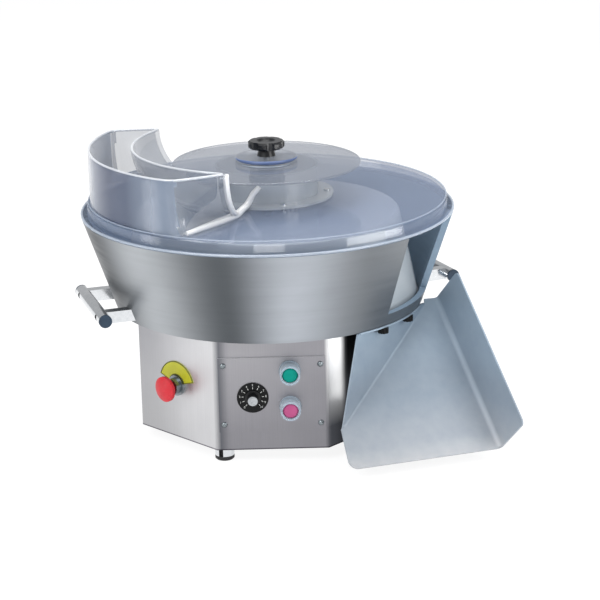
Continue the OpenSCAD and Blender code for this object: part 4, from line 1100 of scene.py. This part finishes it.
@dataclass(frozen=True)
class SoftLamp:
    """Soft lamp that looks at the machine, or level along a turn from +X to +Y, unseen by the camera."""

    name: str
    spot: Spot
    size: Span
    watts: float
    turn: float | None = None

    def hang(self, aim: Vector) -> None:
        """Hangs the lamp, aimed at a point unless it has a turn of its own."""
        data = bpy.data.lights.new(self.name, "AREA")
        data.shape = "RECTANGLE"
        data.size, data.size_y = self.size
        data.energy = self.watts
        lamp = bpy.data.objects.new(self.name, data)
        lamp.location = self.spot
        look = aim - Vector(self.spot)
        if self.turn is not None:
            turn = math.radians(self.turn)
            look = Vector((math.cos(turn), math.sin(turn), 0))
            lamp.visible_camera = False
        lamp.rotation_euler = look.to_track_quat("-Z", "Y").to_euler()
        bpy.context.scene.collection.objects.link(lamp)


@dataclass
class Studio:
    """Pale floor, soft lamps, even sky and the camera."""

    floor_r: float = 16.0
    floor_sides: int = 96
    floor_colour: str = "#f4f4f5"
    glow_share: float = 0.8
    glow: float = 1.1
    sky_colour: str = "#f6f7f9"
    sky_strength: float = 0.55
    eye: Spot = (0.0001, -2.8983, 1.0955)
    aim: Spot = (0.0476, 0.0, 0.1927)
    sensor_mm: float = 36.0
    lens_mm: float = 115.25
    sight: float = 100.0
    roll_deg: float = -1.109
    lamps: tuple[SoftLamp, ...] = (
        SoftLamp("key", (-2.2, -2.6, 3.0), (2.4, 2.4), 120),
        SoftLamp("fill", (2.8, -1.8, 2.0), (2.0, 2.0), 50),
        SoftLamp("top", (0.2, 0.6, 3.2), (2.0, 2.0), 60),
        SoftLamp("kicker", (0.128, -0.193, 0.14), (0.026, 0.11), 0.016, 180),
        SoftLamp("left_strip", (-1.0, -0.39, 0.18), (0.25, 0.34), 0.6, 12),
        SoftLamp("front_strip", (0.02, -2.5, 0.12), (0.78, 0.2), 3.4, 90),
        SoftLamp("right_strip", (1.65, -0.77, 0.125), (1.29, 0.2), 5.5, 160),
    )

    def floor_material(self) -> Material:
        """Builds the floor's finish: matte white that the camera, metal and glass see as white."""
        mat = bpy.data.materials.new("studio_floor")
        mat.use_nodes = True
        tree = mat.node_tree
        tree.nodes.clear()
        rays = add(tree, "ShaderNodeLightPath").outputs
        seen = math_node(tree, "ADD", rays["Is Camera Ray"], rays["Is Glossy Ray"])
        seen = math_node(tree, "ADD", seen, rays["Is Transmission Ray"], use_clamp=True)
        share = math_node(tree, "MULTIPLY", seen, self.glow_share)
        matte = add(tree, "ShaderNodeBsdfDiffuse", {"Color": linear(self.floor_colour)})
        glow = add(tree, "ShaderNodeEmission", {"Color": linear("#ffffff"), "Strength": self.glow})
        both = add(tree, "ShaderNodeMixShader", {0: share, 1: matte.outputs[0], 2: glow.outputs[0]})
        add(tree, "ShaderNodeOutputMaterial", {0: both.outputs[0]})
        return mat

    def floor(self) -> None:
        """Lays the floor."""
        bm = bmesh.new()
        bmesh.ops.create_circle(bm, cap_ends=True, segments=self.floor_sides, radius=self.floor_r)
        mesh = from_bmesh("floor", bm)
        mesh.materials.append(self.floor_material())
        floor = bpy.data.objects.new("floor", mesh)
        bpy.context.scene.collection.objects.link(floor)

    def sky(self) -> None:
        """Sets an even pale sky."""
        world = bpy.data.worlds.new("sky")
        world.use_nodes = True
        back = world.node_tree.nodes["Background"]
        back.inputs["Color"].default_value = linear(self.sky_colour)
        back.inputs["Strength"].default_value = self.sky_strength
        bpy.context.scene.world = world

    def camera(self) -> None:
        """Sets the camera at the photograph's angle."""
        data = bpy.data.cameras.new("camera")
        data.sensor_width = self.sensor_mm
        data.lens = self.lens_mm
        data.clip_end = self.sight
        camera = bpy.data.objects.new("camera", data)
        look = (Vector(self.aim) - Vector(self.eye)).to_track_quat("-Z", "Y").to_matrix().to_4x4()
        turned = look @ Matrix.Rotation(math.radians(self.roll_deg), 4, "Z")
        camera.matrix_world = Matrix.Translation(self.eye) @ turned
        bpy.context.scene.collection.objects.link(camera)
        bpy.context.scene.camera = camera

    def build(self) -> None:
        """Sets up the whole studio."""
        bpy.context.scene.view_settings.view_transform = "Standard"
        self.camera()
        self.floor()
        self.sky()
        for lamp in self.lamps:
            lamp.hang(Vector(self.aim))


def dress_cad() -> None:
    """Gives every CAD node its finish."""
    for name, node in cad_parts.items():
        node.data.materials.clear()
        node.data.materials.append(material_of(CAD_FINISHES[name]))
        LOG.info("node %s: %s", name, CAD_FINISHES[name].name)


def main() -> None:
    """Builds the scene."""
    logging.basicConfig(level=logging.INFO, format="%(name)s %(message)s")
    Studio().build()
    dress_cad()
    trees = Trees()
    Hopper().dress(trees)
    Lid().dress(trees)
    Dial().dress(trees)
    Legend().dress(trees)
    ChuteFolds().dress()


if __name__ == "__main__":
    main()
